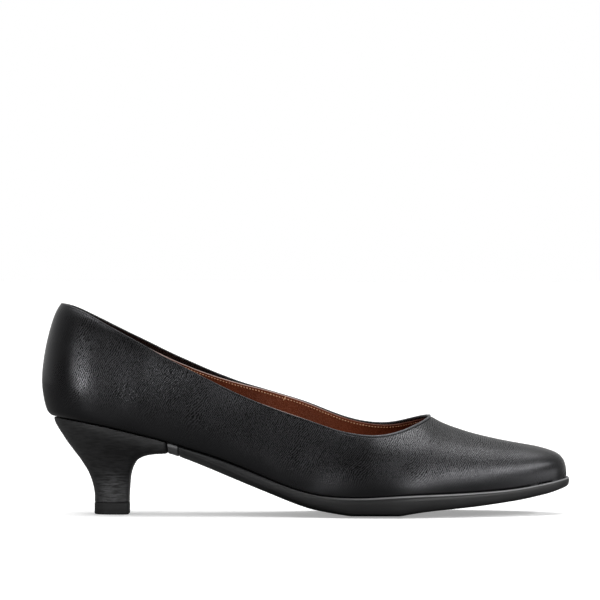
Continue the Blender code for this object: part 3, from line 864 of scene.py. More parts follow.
@dataclass(frozen=True)
class MouldedFinish:
    """Moulded or wrapped hard piece: level streaks, fine grit and a slow mottle."""

    name: str
    colour: Colour
    streak_colour: Colour
    roughness: float
    lines: float
    streak_depth: float
    specular: float = 0.5
    length: float = 0.05
    # Mask of the band where the streaks show fully, and the share of them left outside it.
    low_streaks_mask: str = ""
    streaks_outside_band: float = 0.2
    edge_and_highlight_mask: str = ""
    edge_and_highlight_colour: Colour = (0.0, 0.0, 0.0)
    patches: float = 70.0
    mottled: float = 0.14
    streak_rough: float = 0.08
    cloud_rough: float = 0.06
    grit: float = 2400.0
    grit_share: float = 0.5

    def build(self, effects: Effects) -> Material:
        """Makes the material.

        Args:
            effects: The shared node groups.

        Returns:
            The material, with the streaks in its colour, roughness and bump.
        """
        material, make, shader, place = new_material(self.name)
        drawn = make.add("Group", {"Vector": place, "Lines": self.lines, "Length": self.length},
                         node_tree=effects.streaks).outputs["Height"]
        if self.low_streaks_mask:
            low_streaks = make.mask(self.low_streaks_mask)
            kept = make.maths("MULTIPLY_ADD", low_streaks, 1 - self.streaks_outside_band, self.streaks_outside_band)
            drawn = make.maths("MULTIPLY", drawn, kept)
        mottle = make.add("Group", {"Vector": place, "Patches": self.patches, "Amount": self.mottled},
                          node_tree=effects.mottle)
        fine = make.add("TexNoise", {"Vector": place, "Scale": self.grit, "Detail": 2.0})
        skin = make.mix(drawn, self.colour, self.streak_colour)
        # Tint along a masked edge: on the sole, a painted highlight along the lip, a painted reflection on
        # the waist's bevel, and a lighter tab.
        if self.edge_and_highlight_mask:
            skin = make.mix(make.mask(self.edge_and_highlight_mask), skin, self.edge_and_highlight_colour)
        height = make.maths("MULTIPLY_ADD", fine.outputs["Fac"], self.grit_share, drawn)
        make.surface(shader, skin, mottle.outputs["Tone"], height, self.streak_depth)
        rough = make.maths("MULTIPLY_ADD", drawn, self.streak_rough, self.roughness)
        rough = make.maths("MULTIPLY_ADD", mottle.outputs["Cloud"], self.cloud_rough, rough)
        make.put(shader, "Roughness", rough)
        make.put(shader, "Specular IOR Level", self.specular)
        return material


@dataclass(frozen=True)
class ThreadFinish:
    """Waxed sewing thread with a fine twist."""

    name: str = "pale_thread"
    colour: Colour = (0.72, 0.40, 0.22)
    dark: Colour = (0.40, 0.19, 0.10)
    twists: float = 900.0
    twist_depth: float = 0.04
    roughness: float = 0.6
    patches: float = 300.0
    mottled: float = 0.2

    def build(self, effects: Effects) -> Material:
        """Makes the material: a wave of twist in its colour and bump."""
        material, make, shader, place = new_material(self.name)
        twist = make.add("TexWave", {"Vector": place, "Scale": self.twists, "Distortion": 1.5},
                         bands_direction="DIAGONAL").outputs["Fac"]
        mottle = make.add("Group", {"Vector": place, "Patches": self.patches, "Amount": self.mottled},
                          node_tree=effects.mottle)
        skin = make.mix(twist, self.dark, self.colour)
        make.surface(shader, skin, mottle.outputs["Tone"], twist, self.twist_depth)
        make.put(shader, "Roughness", self.roughness)
        return material


@dataclass
class Upper:
    """Outer leather with its folded rim, the lining inside it and the row of rim stitches."""

    last: Last
    wall: Wall
    leather_thick: float = 1.0
    lining_outer: float = 1.02
    lining_inner: float = 1.8
    crease_fades: tuple[float, float] = (0.15, 0.12)
    side_blend: float = 0.5
    tuck_deep: float = 0.5
    tuck_more_at_ball: float = 0.3
    ball_x: float = 40.0
    tuck_wide: float = 0.5
    fold_wide: float = 0.42
    fold_down: float = 0.55
    groove_wide: float = 0.26
    groove_down: float = 1.35
    # Painted highlight on the rim's fold near the throat: how far below the rim, how wide, and the X over
    # which it comes in.
    fold_highlight_down: float = 0.6
    fold_highlight_wide: float = 0.55
    fold_highlight_from: tuple[float, float] = (8.0, 32.0)
    margin: float = 6.0
    margin_thick: float = 0.9
    margin_bend: tuple[float, float] = (-1.6, -2.0)
    foot_shares: tuple[float, ...] = (0.0, 0.006, 0.014, 0.024, 0.036, 0.05)
    wall_rows: int = 70
    rim_rows: int = 16
    rim_rows_from: float = 3.0
    rim_rows_gap: float = 0.2
    cap_rows: int = 10
    inside_every: int = 3
    calm_low: float = 0.9
    calm_low_edge: float = 1.25
    calm_toe: float = 0.6
    calm_toe_from: tuple[float, float] = (96.0, 126.0)
    calm_back: float = 0.8
    calm_back_from: tuple[float, float] = (-108.0, -118.0)
    calm_most: float = 0.92
    drop_blend: float = 16.0
    lining_foot: float = 0.055
    lining_rows: int = 34
    lining_rim_rows: int = 12
    lining_cap_rows: int = 8
    cut_edge_fades: tuple[float, float] = (24.0, -6.0)
    cut_edge_least: float = 0.15
    seam_x: float = -8.6
    seam_z: float = 56.0
    seam_lean: float = 0.35
    seam_sharp: float = 5.0
    lap: float = 0.22
    lap_fades: float = 30.0
    stitch_down: float = 2.0
    stitch_from_edge: float = 1.5
    stitch_pitch: float = 1.5
    stitch_long: float = 0.95
    stitch_radius: float = 0.28
    stitch_sunk: float = 0.02
    stitch_slant: tuple[float, float] = (0.96, 0.28)
    stitch_rings: int = 6
    stitch_spokes: int = 6
    tack_x: float = -9.6
    tack_down: tuple[float, float] = (0.9, 3.0)
    tack_raised: float = 0.12
    tack_slant: float = 0.7
    tack_blunt: float = 0.6
    tack_radius: float = 0.26
    tack_rings: int = 12
    tack_spokes: int = 8

    def crease_height(self, points: Array, up: Array) -> Array:
        """How far the listed troughs and ridges move the leather outwards.

        Args:
            points: Points of the outer surface.
            up: Their shares of the way up.

        Returns:
            The sum of long bells, each turned by its slant on its own side, fading out at the foot and
            the rim.
        """
        total = np.zeros(up.shape)
        for side, x, height, long, wide, slant, depth in zip(*CREASES.columns.values()):
            near = self.last.feather_columns(Side(int(side)))
            column = np.argmin(np.abs(near[:, 0] - x))
            index = column if side < 0 else (len(self.wall.foot) - column) % len(self.wall.foot)
            centre = self.wall.at(np.full((len(self.wall.foot), 1), height))[index, 0]
            away = points - centre
            cosine, sine = np.cos(np.radians(slant)), np.sin(np.radians(slant))
            along = away[..., 0] * cosine + away[..., 2] * sine
            off = -away[..., 0] * sine + away[..., 2] * cosine
            same = 1 / (1 + np.exp(-side * points[..., 1] * self.side_blend))
            total += depth * bell(along, long) * bell(off, wide) * same
        ends = ramp(up, 0, self.crease_fades[0]) * ramp(1 - up, 0, self.crease_fades[1])
        return total * ends * ends * (3 - 2 * ends)

    def rim_height(self, down: Array, x: Array) -> Array:
        """Fold and groove of the rim: one bell outwards and one inwards, by the distance below it."""
        fold = RIM.smooth("fold", x) * bell(down - self.fold_down, self.fold_wide)
        return fold - RIM.smooth("groove", x) * bell(down - self.groove_down, self.groove_wide)

    def outer_rows(self) -> Array:
        """Shares of the way up: closer at the foot, then even, then at set distances below the rim."""
        start = self.foot_shares[-1]
        low = self.wall.share_below_rim(np.array([self.rim_rows_from + self.rim_rows_gap]))
        middle = start + (low - start) * np.linspace(0, 1, self.wall_rows)[None, 1:]
        downs = np.linspace(self.rim_rows_from, self.leather_thick / 2, self.rim_rows)
        near = self.wall.share_below_rim(downs[None, :])
        foot = np.broadcast_to(self.foot_shares, (len(near), len(self.foot_shares)))
        return np.concatenate([foot, middle, near], axis=1)

    def build_leather(self, material: Material) -> Piece:
        """Closed shell of the outer leather.

        Args:
            material: The black leather.

        Returns:
            The piece: foot to rim outside, half a circle over the rim, down inside, and round the margin.
        """
        half = self.leather_thick / 2
        up = self.outer_rows()
        points, normal, rising = self.wall.frame_at(up)
        down = (1 - up) * self.wall.rim_scale[:, None]
        x = self.wall.top[:, 0:1]
        creased = self.crease_height(points, up)
        tuck = self.tuck_deep + self.tuck_more_at_ball * ramp(x, 0, self.ball_x)
        tuck = tuck * bell(up * self.wall.rim_scale[:, None], self.tuck_wide)
        outer = points + normal * (creased + self.rim_height(down, x) - tuck)[..., None]
        turn = np.linspace(0, np.pi, self.cap_rows)[None, 1:, None]
        centre = points[:, -1:] - normal[:, -1:] * half
        lifted = (outer[:, -1:] - points[:, -1:]) * (1 + np.cos(turn)) / 2
        cap = centre + half * (normal[:, -1:] * np.cos(turn) + rising[:, -1:] * np.sin(turn)) + lifted
        inside_up = up[:, ::-1][:, ::self.inside_every]
        inside_up = inside_up[:, (inside_up > self.foot_shares[-1]).all(axis=0)]
        points_in, normal_in, _ = self.wall.frame_at(inside_up)
        pressed = self.crease_height(points_in, inside_up)
        inner = points_in - normal_in * (self.leather_thick - pressed[..., None])
        rings = ((self.margin_bend[0], self.margin_thick), (-self.margin, self.margin_thick),
                 (-self.margin, 0.0), (self.margin_bend[1], 0.0))
        margin = [self.last.bed_ring(grow, above)[:, None, :] for grow, above in rings]
        grid = np.concatenate([outer, cap, inner[:, 1:], *margin], axis=1).transpose(1, 0, 2)
        piece = skin_rows("upper_leather", self.last, grid, material, 60, loop=True)
        self.mask_calm(piece)
        # Painted highlight: a pale tint, kept as the mask fold, in a band just under the rim towards the
        # throat, where the fold faces up to the light.
        painted_fold_highlight = np.zeros(grid.shape[:2])
        light = bell(down - self.fold_highlight_down, self.fold_highlight_wide)
        painted_fold_highlight[:up.shape[1]] = (light * ramp(x, *self.fold_highlight_from)).T
        add_grid_mask(piece, "fold", painted_fold_highlight)
        dress(piece, "black_leather", "upper")
        return piece

    def mask_calm(self, piece: Piece) -> None:
        """Calms the grain where the leather is tight: at the toe, at the back and along the feather."""
        x, _, z = self.last.points_of(piece).T
        over = (z - self.last.bed(x)) / np.interp(x, CALM.along, CALM.columns["reach"])
        low = np.clip(self.calm_low_edge - over, 0, 1) * self.calm_low
        toe = ramp(x, *self.calm_toe_from) * self.calm_toe
        back = ramp(x, *self.calm_back_from) * self.calm_back
        add_mask(piece, "calm", np.clip(np.maximum(np.maximum(low, toe), back), 0, self.calm_most))

    def lining_drop(self) -> Array:
        """How far the lining's cut edge lies under the rim at each column."""
        x = self.wall.top[:, 0]
        share = np.clip(0.5 + self.wall.top[:, 1] / self.drop_blend, 0, 1)
        return RIM.smooth("drop_outer", x) * (1 - share) + RIM.smooth("drop_inner", x) * share

    def build_lining(self, material: Material) -> Piece:
        """Closed shell of the lining, with a pale cut edge.

        Args:
            material: The brown lining.

        Returns:
            The piece: up its back, half a circle over its cut edge and down its face to the sock.
        """
        half = (self.lining_inner - self.lining_outer) / 2
        drop = self.lining_drop()[:, None] + half
        downs = np.linspace(self.rim_rows_from, 0.0, self.lining_rim_rows)
        near = self.wall.share_below_rim(drop + downs[None, :])
        shares = np.linspace(0, 1, self.lining_rows)[None, :-1]
        low = self.lining_foot + (near[:, :1] - self.lining_foot) * shares
        up = np.concatenate([low, near], axis=1)
        beyond = np.clip(up, 0, 1)
        points, normal, rising = self.wall.frame_at(beyond)
        points = points + rising * ((up - beyond) * self.wall.rim_scale[:, None])[..., None]
        pressed = self.crease_height(points, beyond)[..., None]
        step = self.lining_step(points)[..., None]
        back = points - normal * (self.lining_outer - pressed)
        face = points - normal * (self.lining_inner - pressed + step)
        turn = np.linspace(0, np.pi, self.lining_cap_rows)[None, 1:-1, None]
        centre = (back[:, -1:] + face[:, -1:]) / 2
        cap = centre + half * (normal[:, -1:] * np.cos(turn) + rising[:, -1:] * np.sin(turn))
        rows = np.concatenate([back, cap, face[:, ::-1]], axis=1).transpose(1, 0, 2)
        piece = skin_rows("upper_lining", self.last, rows, material, 60, loop=True)
        edge = np.zeros(rows.shape[:2])
        light = ramp(self.wall.top[:, 0], *self.cut_edge_fades)
        edge[up.shape[1]:up.shape[1] + cap.shape[1]] = np.maximum(light, self.cut_edge_least)
        add_grid_mask(piece, "cut_edge", edge)
        dress(piece, "brown_sock")
        return piece

    def lining_step(self, points: Array) -> Array:
        """Extra thickness where the vamp lining laps over the quarter lining on the inner side."""
        seam = self.seam_x + (points[..., 2] - self.seam_z) * self.seam_lean
        ahead = 1 / (1 + np.exp(-(points[..., 0] - seam) * self.seam_sharp))
        fade = ramp(points[..., 0], self.lap_fades, 0)
        return self.lap * ahead * fade * (points[..., 1] > 0)

    def build_stitches(self, material: Material) -> Piece:
        """Row of stitches on the lining's face under the rim.

        Args:
            material: The thread.

        Returns:
            One piece of small beads: a sphere drawn out along the row, the same for each stitch.
        """
        below = np.maximum(self.stitch_down, self.lining_drop() + self.stitch_from_edge)
        level = self.wall.share_below_rim(below[:, None])
        points, normal, rising = (part[:, 0] for part in self.wall.frame_at(level))
        face = points - normal * (self.lining_inner + self.lining_step(points)[:, None])
        loop = np.concatenate([face, face[:1]])
        along = path_lengths(loop)
        count = int(along[-1] / self.stitch_pitch)
        places = (np.arange(count) + 0.5) * along[-1] / count
        centre = sample(loop, along, places)
        across = unit(sample(np.concatenate([rising, rising[:1]]), along, places))
        out = unit(sample(np.concatenate([normal, normal[:1]]), along, places))
        forward = unit(np.cross(across, out))
        swing, turn = bead_angles(self.stitch_rings, self.stitch_spokes)
        thick = np.sin(swing) * self.stitch_radius
        length = np.cos(swing) * self.stitch_long / 2
        shape = np.stack([length, thick * np.cos(turn), thick * np.sin(turn)], axis=-1)
        ahead, wide, high = shape.reshape(-1, 3).T[:, None, :, None]
        slant = forward * self.stitch_slant[0] + across * self.stitch_slant[1]
        beads = (centre[:, None] + slant[:, None] * ahead + across[:, None] * wide
                 + out[:, None] * (high - self.stitch_sunk))
        quads = grid_faces(self.stitch_rings, self.stitch_spokes, loop_rows=False)
        firsts = np.arange(count) * self.stitch_rings * self.stitch_spokes
        faces = (quads[None] + firsts[:, None, None]).reshape(-1, 4)
        piece = make_piece("rim_stitches", self.last.in_metres(beads.reshape(-1, 3)), faces, material, 80)
        dress(piece, "brown_sock")
        return piece

    def build_tack(self, material: Material) -> Piece:
        """Short pale tack across the top of the lining's joint on the inner side.

        Args:
            material: The thread.

        Returns:
            The piece: one blunt bead from the joint's top to a little below it, leaning across the joint.
        """
        inner_tops = self.wall.top[::-1][:self.last.side_columns, 0]
        back = int(np.argmin(np.abs(inner_tops - self.tack_x)))
        column = (len(self.wall.foot) - back) % len(self.wall.foot)
        ends = self.wall.share_below_rim(np.array([self.tack_down]))
        points, normal, rising = (part[column] for part in self.wall.frame_at(ends))
        high, low = points - normal * (self.lining_inner + self.tack_raised)
        out = normal[0]
        forward = unit(np.cross(rising[0], out))
        start = high - forward * self.tack_slant
        finish = low + forward * self.tack_slant
        axis = (finish - start) / 2
        side = unit(np.cross(axis, out))
        swing, turn = (angle[..., None] for angle in bead_angles(self.tack_rings, self.tack_spokes))
        thick = np.sin(swing) ** self.tack_blunt * self.tack_radius
        round_it = np.cos(turn) * side + np.sin(turn) * out
        rows = (start + finish) / 2 + np.cos(swing) * axis + thick * round_it
        piece = skin_rows("lining_tack", self.last, rows, material, 80)
        dress(piece, "brown_sock")
        return piece


@dataclass
class Sock:
    """Brown leather sock over the insole board, turned up a little where it meets the lining."""

    last: Last
    wall: Wall
    low: float = 0.3
    step: float = 2.1
    thick: float = 2.2
    clear: float = 2.0
    pad_inset: float = 6.6
    edge_inset: float = 2.4
    turned_up: float = 0.1
    turned_up_power: float = 6.0
    dished: float = 0.35
    rings: int = 26
    ring_power: float = 1.5
    reach_rows: int = 60
    reach_share: float = 0.4
    back_spine: float = -98.0
    toe_spine: float = 118.0

    def build(self, material: Material) -> Piece:
        """Closed sheet with its pad below.

        Args:
            material: The brown sock leather.

        Returns:
            The piece: pad, edge, rounded rim and a top drawn in ring by ring to the middle line.
        """
        top = self.step + self.thick
        # The pad's loops by inset and height, then the rounded edge's loops by height and inset.
        below = ((self.pad_inset, self.low), (self.pad_inset, self.step), (self.edge_inset, self.step))
        beside = ((self.step + 0.5, 0.05), (top - 0.3, 0.0), (top + 0.05, 0.25), (top + 0.1, 0.6))
        rims = [self.last.bed_ring(-inset, above) for inset, above in below]
        *walls, edge = [self.wall_ring(above, inset) for above, inset in beside]
        rims += walls
        middle = self.spine(edge)
        shares = (1 - np.linspace(0, 1, self.rings) ** self.ring_power)[:, None, None]
        tops = middle + (edge - middle) * shares
        out = shares[..., 0]
        raised = self.turned_up * out**self.turned_up_power - self.dished * (1 - out**2)
        tops[..., 2] = self.last.bed(tops[..., 0]) + top + raised
        bottom = self.spine(rims[0])
        bottom[:, 2] = self.last.bed(bottom[:, 0]) + self.low
        rows = np.concatenate([bottom[None], np.stack(rims), tops], axis=0)
        piece = skin_rows("sock", self.last, rows, material, 50)
        dress(piece, "brown_sock", "insole")
        return piece

    def wall_ring(self, above: float, inset: float) -> Array:
        """Loop just inside the lining at a height over the bed, moved in by the inset.

        Args:
            above: Height over the bed.
            inset: How far inside the wall.

        Returns:
            The place in each column where the wall first reaches that height, straight between its points.
        """
        up = np.linspace(0, self.reach_share, self.reach_rows)[None].repeat(len(self.wall.foot), axis=0)
        points, normal, _ = self.wall.frame_at(up)
        inside = points - normal * (self.clear + inset)
        over = inside[..., 2] - self.last.bed(inside[..., 0])
        pick = np.clip(np.argmax(over >= above, axis=1), 1, None)
        index = np.arange(len(inside))
        before = over[index, pick - 1]
        share = np.clip((above - before) / np.maximum(over[index, pick] - before, 1e-6), 0, 1)[:, None]
        ring = inside[index, pick - 1] * (1 - share) + inside[index, pick] * share
        ring[:, 2] = self.last.bed(ring[:, 0]) + above
        return ring

    def spine(self, ring: Array) -> Array:
        """The middle line under or over a ring, held short of its two ends."""
        x = np.clip(ring[:, 0], self.back_spine, self.toe_spine)
        y = (FEATHER.smooth("inner", x) - FEATHER.smooth("outer", x)) / 2
        return np.stack([x, y, ring[:, 2]], axis=1)


@dataclass
class Outsole:
    """Moulded outsole from the heel breast to the toe, with a groove near the breast."""

    last: Last
    breast: float = -66.0
    gap: float = 0.3
    flat_share: float = 0.45
    flat_inset: float = 0.8
    middle_shares: tuple[float, float] = (0.1, 0.0)
    tip_out: float = 1.2
    tip_draw: float = 18.0
    middle_y: float = 2.0
    groove_x: float = -60.6
    groove_deep: float = 0.6
    groove_wide: float = 0.26
    groove_span: float = 0.8
    groove_stations: int = 17
    lip_deep: float = 0.16
    lip_at: float = 0.2
    lip_wide: float = 0.06
    lip_from: tuple[float, float] = (0.0, 30.0)
    stations: int = 260
    first_turn: float = np.pi / 3
    edge_rows: int = 26
    under_rows: int = 18
    # Painted highlight along the lip: how far below the top, how wide, and the X over which it comes in; then
    # the lighter tab behind the groove, and the painted reflection of the floor on the waist's bevel.
    lip_highlight_down: float = 0.45
    lip_highlight_wide: float = 0.28
    lip_highlight_from: tuple[float, float] = (5.0, 50.0)
    tab_light: float = 0.5
    tab_from: tuple[float, float] = (-0.4, -0.6)
    waist_reflection: float = 0.16
    waist_from: tuple[float, float] = (0.0, -50.0)
    waist_drop: tuple[float, float] = (0.6, 0.8)

    def stations_to(self, tip: float) -> Array:
        """Places from the breast to the tip, closer at the tip and at the groove."""
        turn = np.linspace(self.first_turn, np.pi, self.stations)
        even = (1 + np.cos(turn)) / (1 + np.cos(self.first_turn))
        length = tip - self.breast - self.gap
        beside = np.linspace(-self.groove_span, self.groove_span, self.groove_stations)
        groove = (tip - self.groove_x - beside) / length
        shares = np.sort(np.concatenate([even, groove]))[::-1]
        return tip - length * shares

    def groove(self, x: Array) -> Array:
        """How deep the groove near the breast is at each place: a bell."""
        return self.groove_deep * bell(x - self.groove_x, self.groove_wide)

    def under(self, x: Array, share: float) -> Array:
        """Underside at a share of the half width: its middle plus a squared rise towards the edge."""
        rise = SOLE.steady("rise", x) * ((share - self.flat_share) / (1 - self.flat_share)) ** 2
        return SOLE.steady("height", x) + rise

    def ring(self, grow: float, share: float) -> Array:
        """Plan of the outline, grown past its edge and drawn in to a share of its width."""
        tip = self.last.toe_tip + self.tip_out + grow - self.tip_draw * (1 - share)
        x = self.stations_to(tip)
        reach = SOLE.steady("reach", x) + grow
        outer = FEATHER.smooth("outer", x) + reach
        inner = FEATHER.smooth("inner", x) + reach
        root = RIDGE.smooth("side_power", self.last.toe_tip)
        closed = closing(x, self.last.toe_round, tip, self.last.tip_power, root)
        half = (inner + outer) / 2 * closed * share
        middle = (inner - outer) / 2
        outer_side, inner_side = (np.column_stack([x, middle + sign * half]) for sign in (-1, 1))
        return np.concatenate([outer_side, inner_side[::-1]])

    def build(self, material: Material) -> Piece:
        """Closed solid of the sole.

        Args:
            material: The black sole.

        Returns:
            The piece: a top face, a rounded edge with a fine lip, and an underside that bevels up to it.
        """
        steps = np.linspace(0, 4, self.edge_rows)
        reach = SOLE_EDGE.smooth("reach", steps)
        down = np.clip(SOLE_EDGE.smooth("down", steps), 0, 1)
        rings = []
        for grow, drop in zip(reach, down):
            plan = self.ring(grow, 1.0)
            x = plan[:, 0]
            top = self.last.bed(x) - self.gap
            lip = self.lip_deep * bell(drop - self.lip_at, self.lip_wide) * ramp(x, *self.lip_from)
            plan[:, 1] -= np.sign(plan[:, 1] - self.middle_y) * (lip + self.groove(x))
            rings.append(np.column_stack([plan, top + (self.under(x, 1.0) - top) * drop]))
        for share in np.linspace(1, self.flat_share, self.under_rows)[1:]:
            plan = self.ring(-self.flat_inset, share)
            x = plan[:, 0]
            rings.append(np.column_stack([plan, self.under(x, share) + self.groove(x)]))
        for share in self.middle_shares:
            plan = self.ring(-self.flat_inset, self.flat_share)
            x = plan[:, 0]
            middle = flattened(plan)[:, 1]
            plan[:, 1] = middle + (plan[:, 1] - middle) * share / self.flat_share
            rings.append(np.column_stack([plan, self.under(x, self.flat_share) + self.groove(x)]))
        piece = skin_rows("outsole_unit", self.last, np.stack([flattened(rings[0]), *rings]), material, 50)
        self.mask_painted_light_and_tab(piece)
        dress(piece, "black_sole", "outsole")
        return piece

    def mask_painted_light_and_tab(self, piece: Piece) -> None:
        """Paints a highlight along the lip's top edge and a reflection of the floor on the waist's bevel, and
        lightens the tab behind the groove.
        """
        x, _, z = self.last.points_of(piece).T
        top = self.last.bed(x) - self.gap
        drop = (top - z) / (top - self.under(x, 1.0))
        line = bell(top - z - self.lip_highlight_down, self.lip_highlight_wide) * ramp(x, *self.lip_highlight_from)
        tab = self.tab_light * ramp(x - self.groove_x, *self.tab_from)
        waist = self.waist_reflection * ramp(x, *self.waist_from) * ramp(drop, *self.waist_drop)
        add_mask(piece, "edge", np.maximum(line, np.maximum(tab, waist)))


@dataclass
class Heel:
    """Wrapped heel block, a wide cup that draws in to a small stem, and the top lift under it."""

    last: Last
    seat_back: float = -121.8
    breast: float = -66.0
    seat_half: float = 25.0
    seat_rounded: float = 0.534
    seat_power: float = 20.0
    back_power: float = 2.2
    gap: float = 0.3
    columns: int = 96
    levels: int = 110
    level_power: float = 1.15
    # Band low on the stem where the streaks show: its height, half height and half width.
    low_streaks_up: float = 11.0
    low_streaks_high: float = 9.0
    low_streaks_wide: float = 6.0
    # How far the lift grows past the stem, and at what height: its top, its sides and its eased foot.
    lift_steps: tuple[tuple[float, float], ...] = (
        (-0.25, 5.7), (0.05, 5.62), (0.1, 5.4), (0.1, 0.6), (0.02, 0.25), (-0.15, 0.06), (-0.4, 0.0))

    def ring(self, back: float, front: float, half: float, rounded: float, power: float, hollow: float,
             grow: float = 0.0) -> Array:
        """Plan of one level: an oval at the back and a squarer one in front, hollow at the breast.

        Args:
            back: X of the back.
            front: X of the breast.
            half: Half width.
            rounded: Share of the length that the back's oval takes.
            power: How square the front is.
            hollow: How far the breast is hollowed.
            grow: How far outside its own line.

        Returns:
            X and Y round the level.
        """
        middle = back + (front - back) * rounded
        turn = np.linspace(np.pi, 0, self.columns + 1)
        cosine = np.cos(turn)
        root = np.where(cosine < 0, self.back_power, power)
        length = np.where(cosine < 0, middle - back, front - middle) + grow
        x = middle + length * np.sign(cosine) * np.abs(cosine) ** (2 / root)
        y = (half + grow) * np.abs(np.sin(turn)) ** (2 / root)
        x = x - hollow * np.clip(cosine, 0, 1) ** 2 * (1 - (y / (half + grow)) ** 2)
        return np.concatenate([np.column_stack([x, -y]), np.column_stack([x, y])[::-1]])

    def build_block(self, material: Material) -> Piece:
        """Closed solid of the heel.

        Args:
            material: The black heel cover.

        Returns:
            The piece: the seat's outline, then levels between the table's rows down to the lift.
        """
        plan = self.ring(self.seat_back, self.breast, self.seat_half, self.seat_rounded, self.seat_power, 0.0)
        width = FEATHER.smooth("outer", plan[:, 0]) + FEATHER.smooth("inner", plan[:, 0])
        plan[:, 1] *= width / (2 * self.seat_half)
        rings = [np.column_stack([plan, self.last.bed(plan[:, 0]) - self.gap])]
        for level in HEEL.along[-1] * np.linspace(0, 1, self.levels) ** self.level_power:
            back, back_z, front, front_z, half, rounded, power, hollow = (
                float(HEEL.smooth(name, level)) for name in list(HEEL.columns)[1:])
            plan = self.ring(back, front, half, rounded, power, hollow)
            share = np.clip((plan[:, 0] - back) / (front - back), 0, 1)
            rings.append(np.column_stack([plan, back_z + (front_z - back_z) * share]))
        piece = self.close("heel_block", rings, material)
        x, _, z = self.last.points_of(piece).T
        middle = (HEEL.columns["back_x"][-1] + HEEL.columns["front_x"][-1]) / 2
        # The streaks show in a band low on the stem and fade above it and to the sides.
        add_mask(piece, "low_streaks", bell(z - self.low_streaks_up, self.low_streaks_high) * bell(x - middle, self.low_streaks_wide))
        dress(piece, "black_heel", "heel")
        return piece

    def build_lift(self, material: Material) -> Piece:
        """Top lift: the stem's foot grown by a hair, its edges eased.

        Args:
            material: The black lift.

        Returns:
            The piece: one level for each of the lift's steps.
        """
        _, back, _, front, _, half, rounded, power, hollow = (column[-1] for column in HEEL.columns.values())
        rings = []
        for grow, height in self.lift_steps:
            plan = self.ring(back, front, half, rounded, power, hollow, grow)
            rings.append(np.column_stack([plan, np.full(len(plan), height)]))
        piece = self.close("heel_top_lift", rings, material)
        dress(piece, "black_lift", "top_lift")
        return piece

    def close(self, name: str, rings: list[Array], material: Material) -> Piece:
        """Skins a stack of rings and draws both ends in to their middle line."""
        rows = np.stack([flattened(rings[0]), *rings, flattened(rings[-1])])
        return skin_rows(name, self.last, rows, material, 40)


@dataclass(frozen=True)
class SoftBox:
    """One soft studio light aimed at the shoe, in metres, degrees and watts."""

    name: str
    azimuth: float
    elevation: float
    size: tuple[float, float]
    power: float
    distance: float
    aim: tuple[float, float, float]
    roll: float = 0.0

    def make_light(self) -> bpy.types.Light:
        """Flat oblong lamp of the box's size."""
        light = bpy.data.lights.new(self.name, "AREA")
        light.shape = "RECTANGLE"
        light.size, light.size_y = self.size
        return light

    def build(self) -> None:
        """Hangs the light at its angles round the shoe: azimuth 0 is the camera's side, 90 past the toe."""
        turn, rise = np.radians(self.azimuth), np.radians(self.elevation)
        away = Vector((np.sin(turn) * np.cos(rise), -np.cos(turn) * np.cos(rise), np.sin(rise)))
        light = self.make_light()
        light.energy = self.power
        holder = bpy.data.objects.new(self.name, light)
        holder.location = Vector(self.aim) + away * self.distance
        holder.rotation_mode = "QUATERNION"
        rolled = Quaternion((0, 0, 1), np.radians(self.roll))
        holder.rotation_quaternion = (-away).to_track_quat("-Z", "Y") @ rolled
        bpy.context.scene.collection.objects.link(holder)


@dataclass(frozen=True)
class Snoot(SoftBox):
    """Round soft light held to a narrow cone, so that it reaches only a part of the shoe."""

    cone: float = 10.0

    def make_light(self) -> bpy.types.Light:
        """Round lamp whose width is the first size and whose cone fades from its middle."""
        light = bpy.data.lights.new(self.name, "SPOT")
        light.shadow_soft_size = self.size[0] / 2
        light.spot_size = np.radians(self.cone)
        light.spot_blend = 1.0
        return light


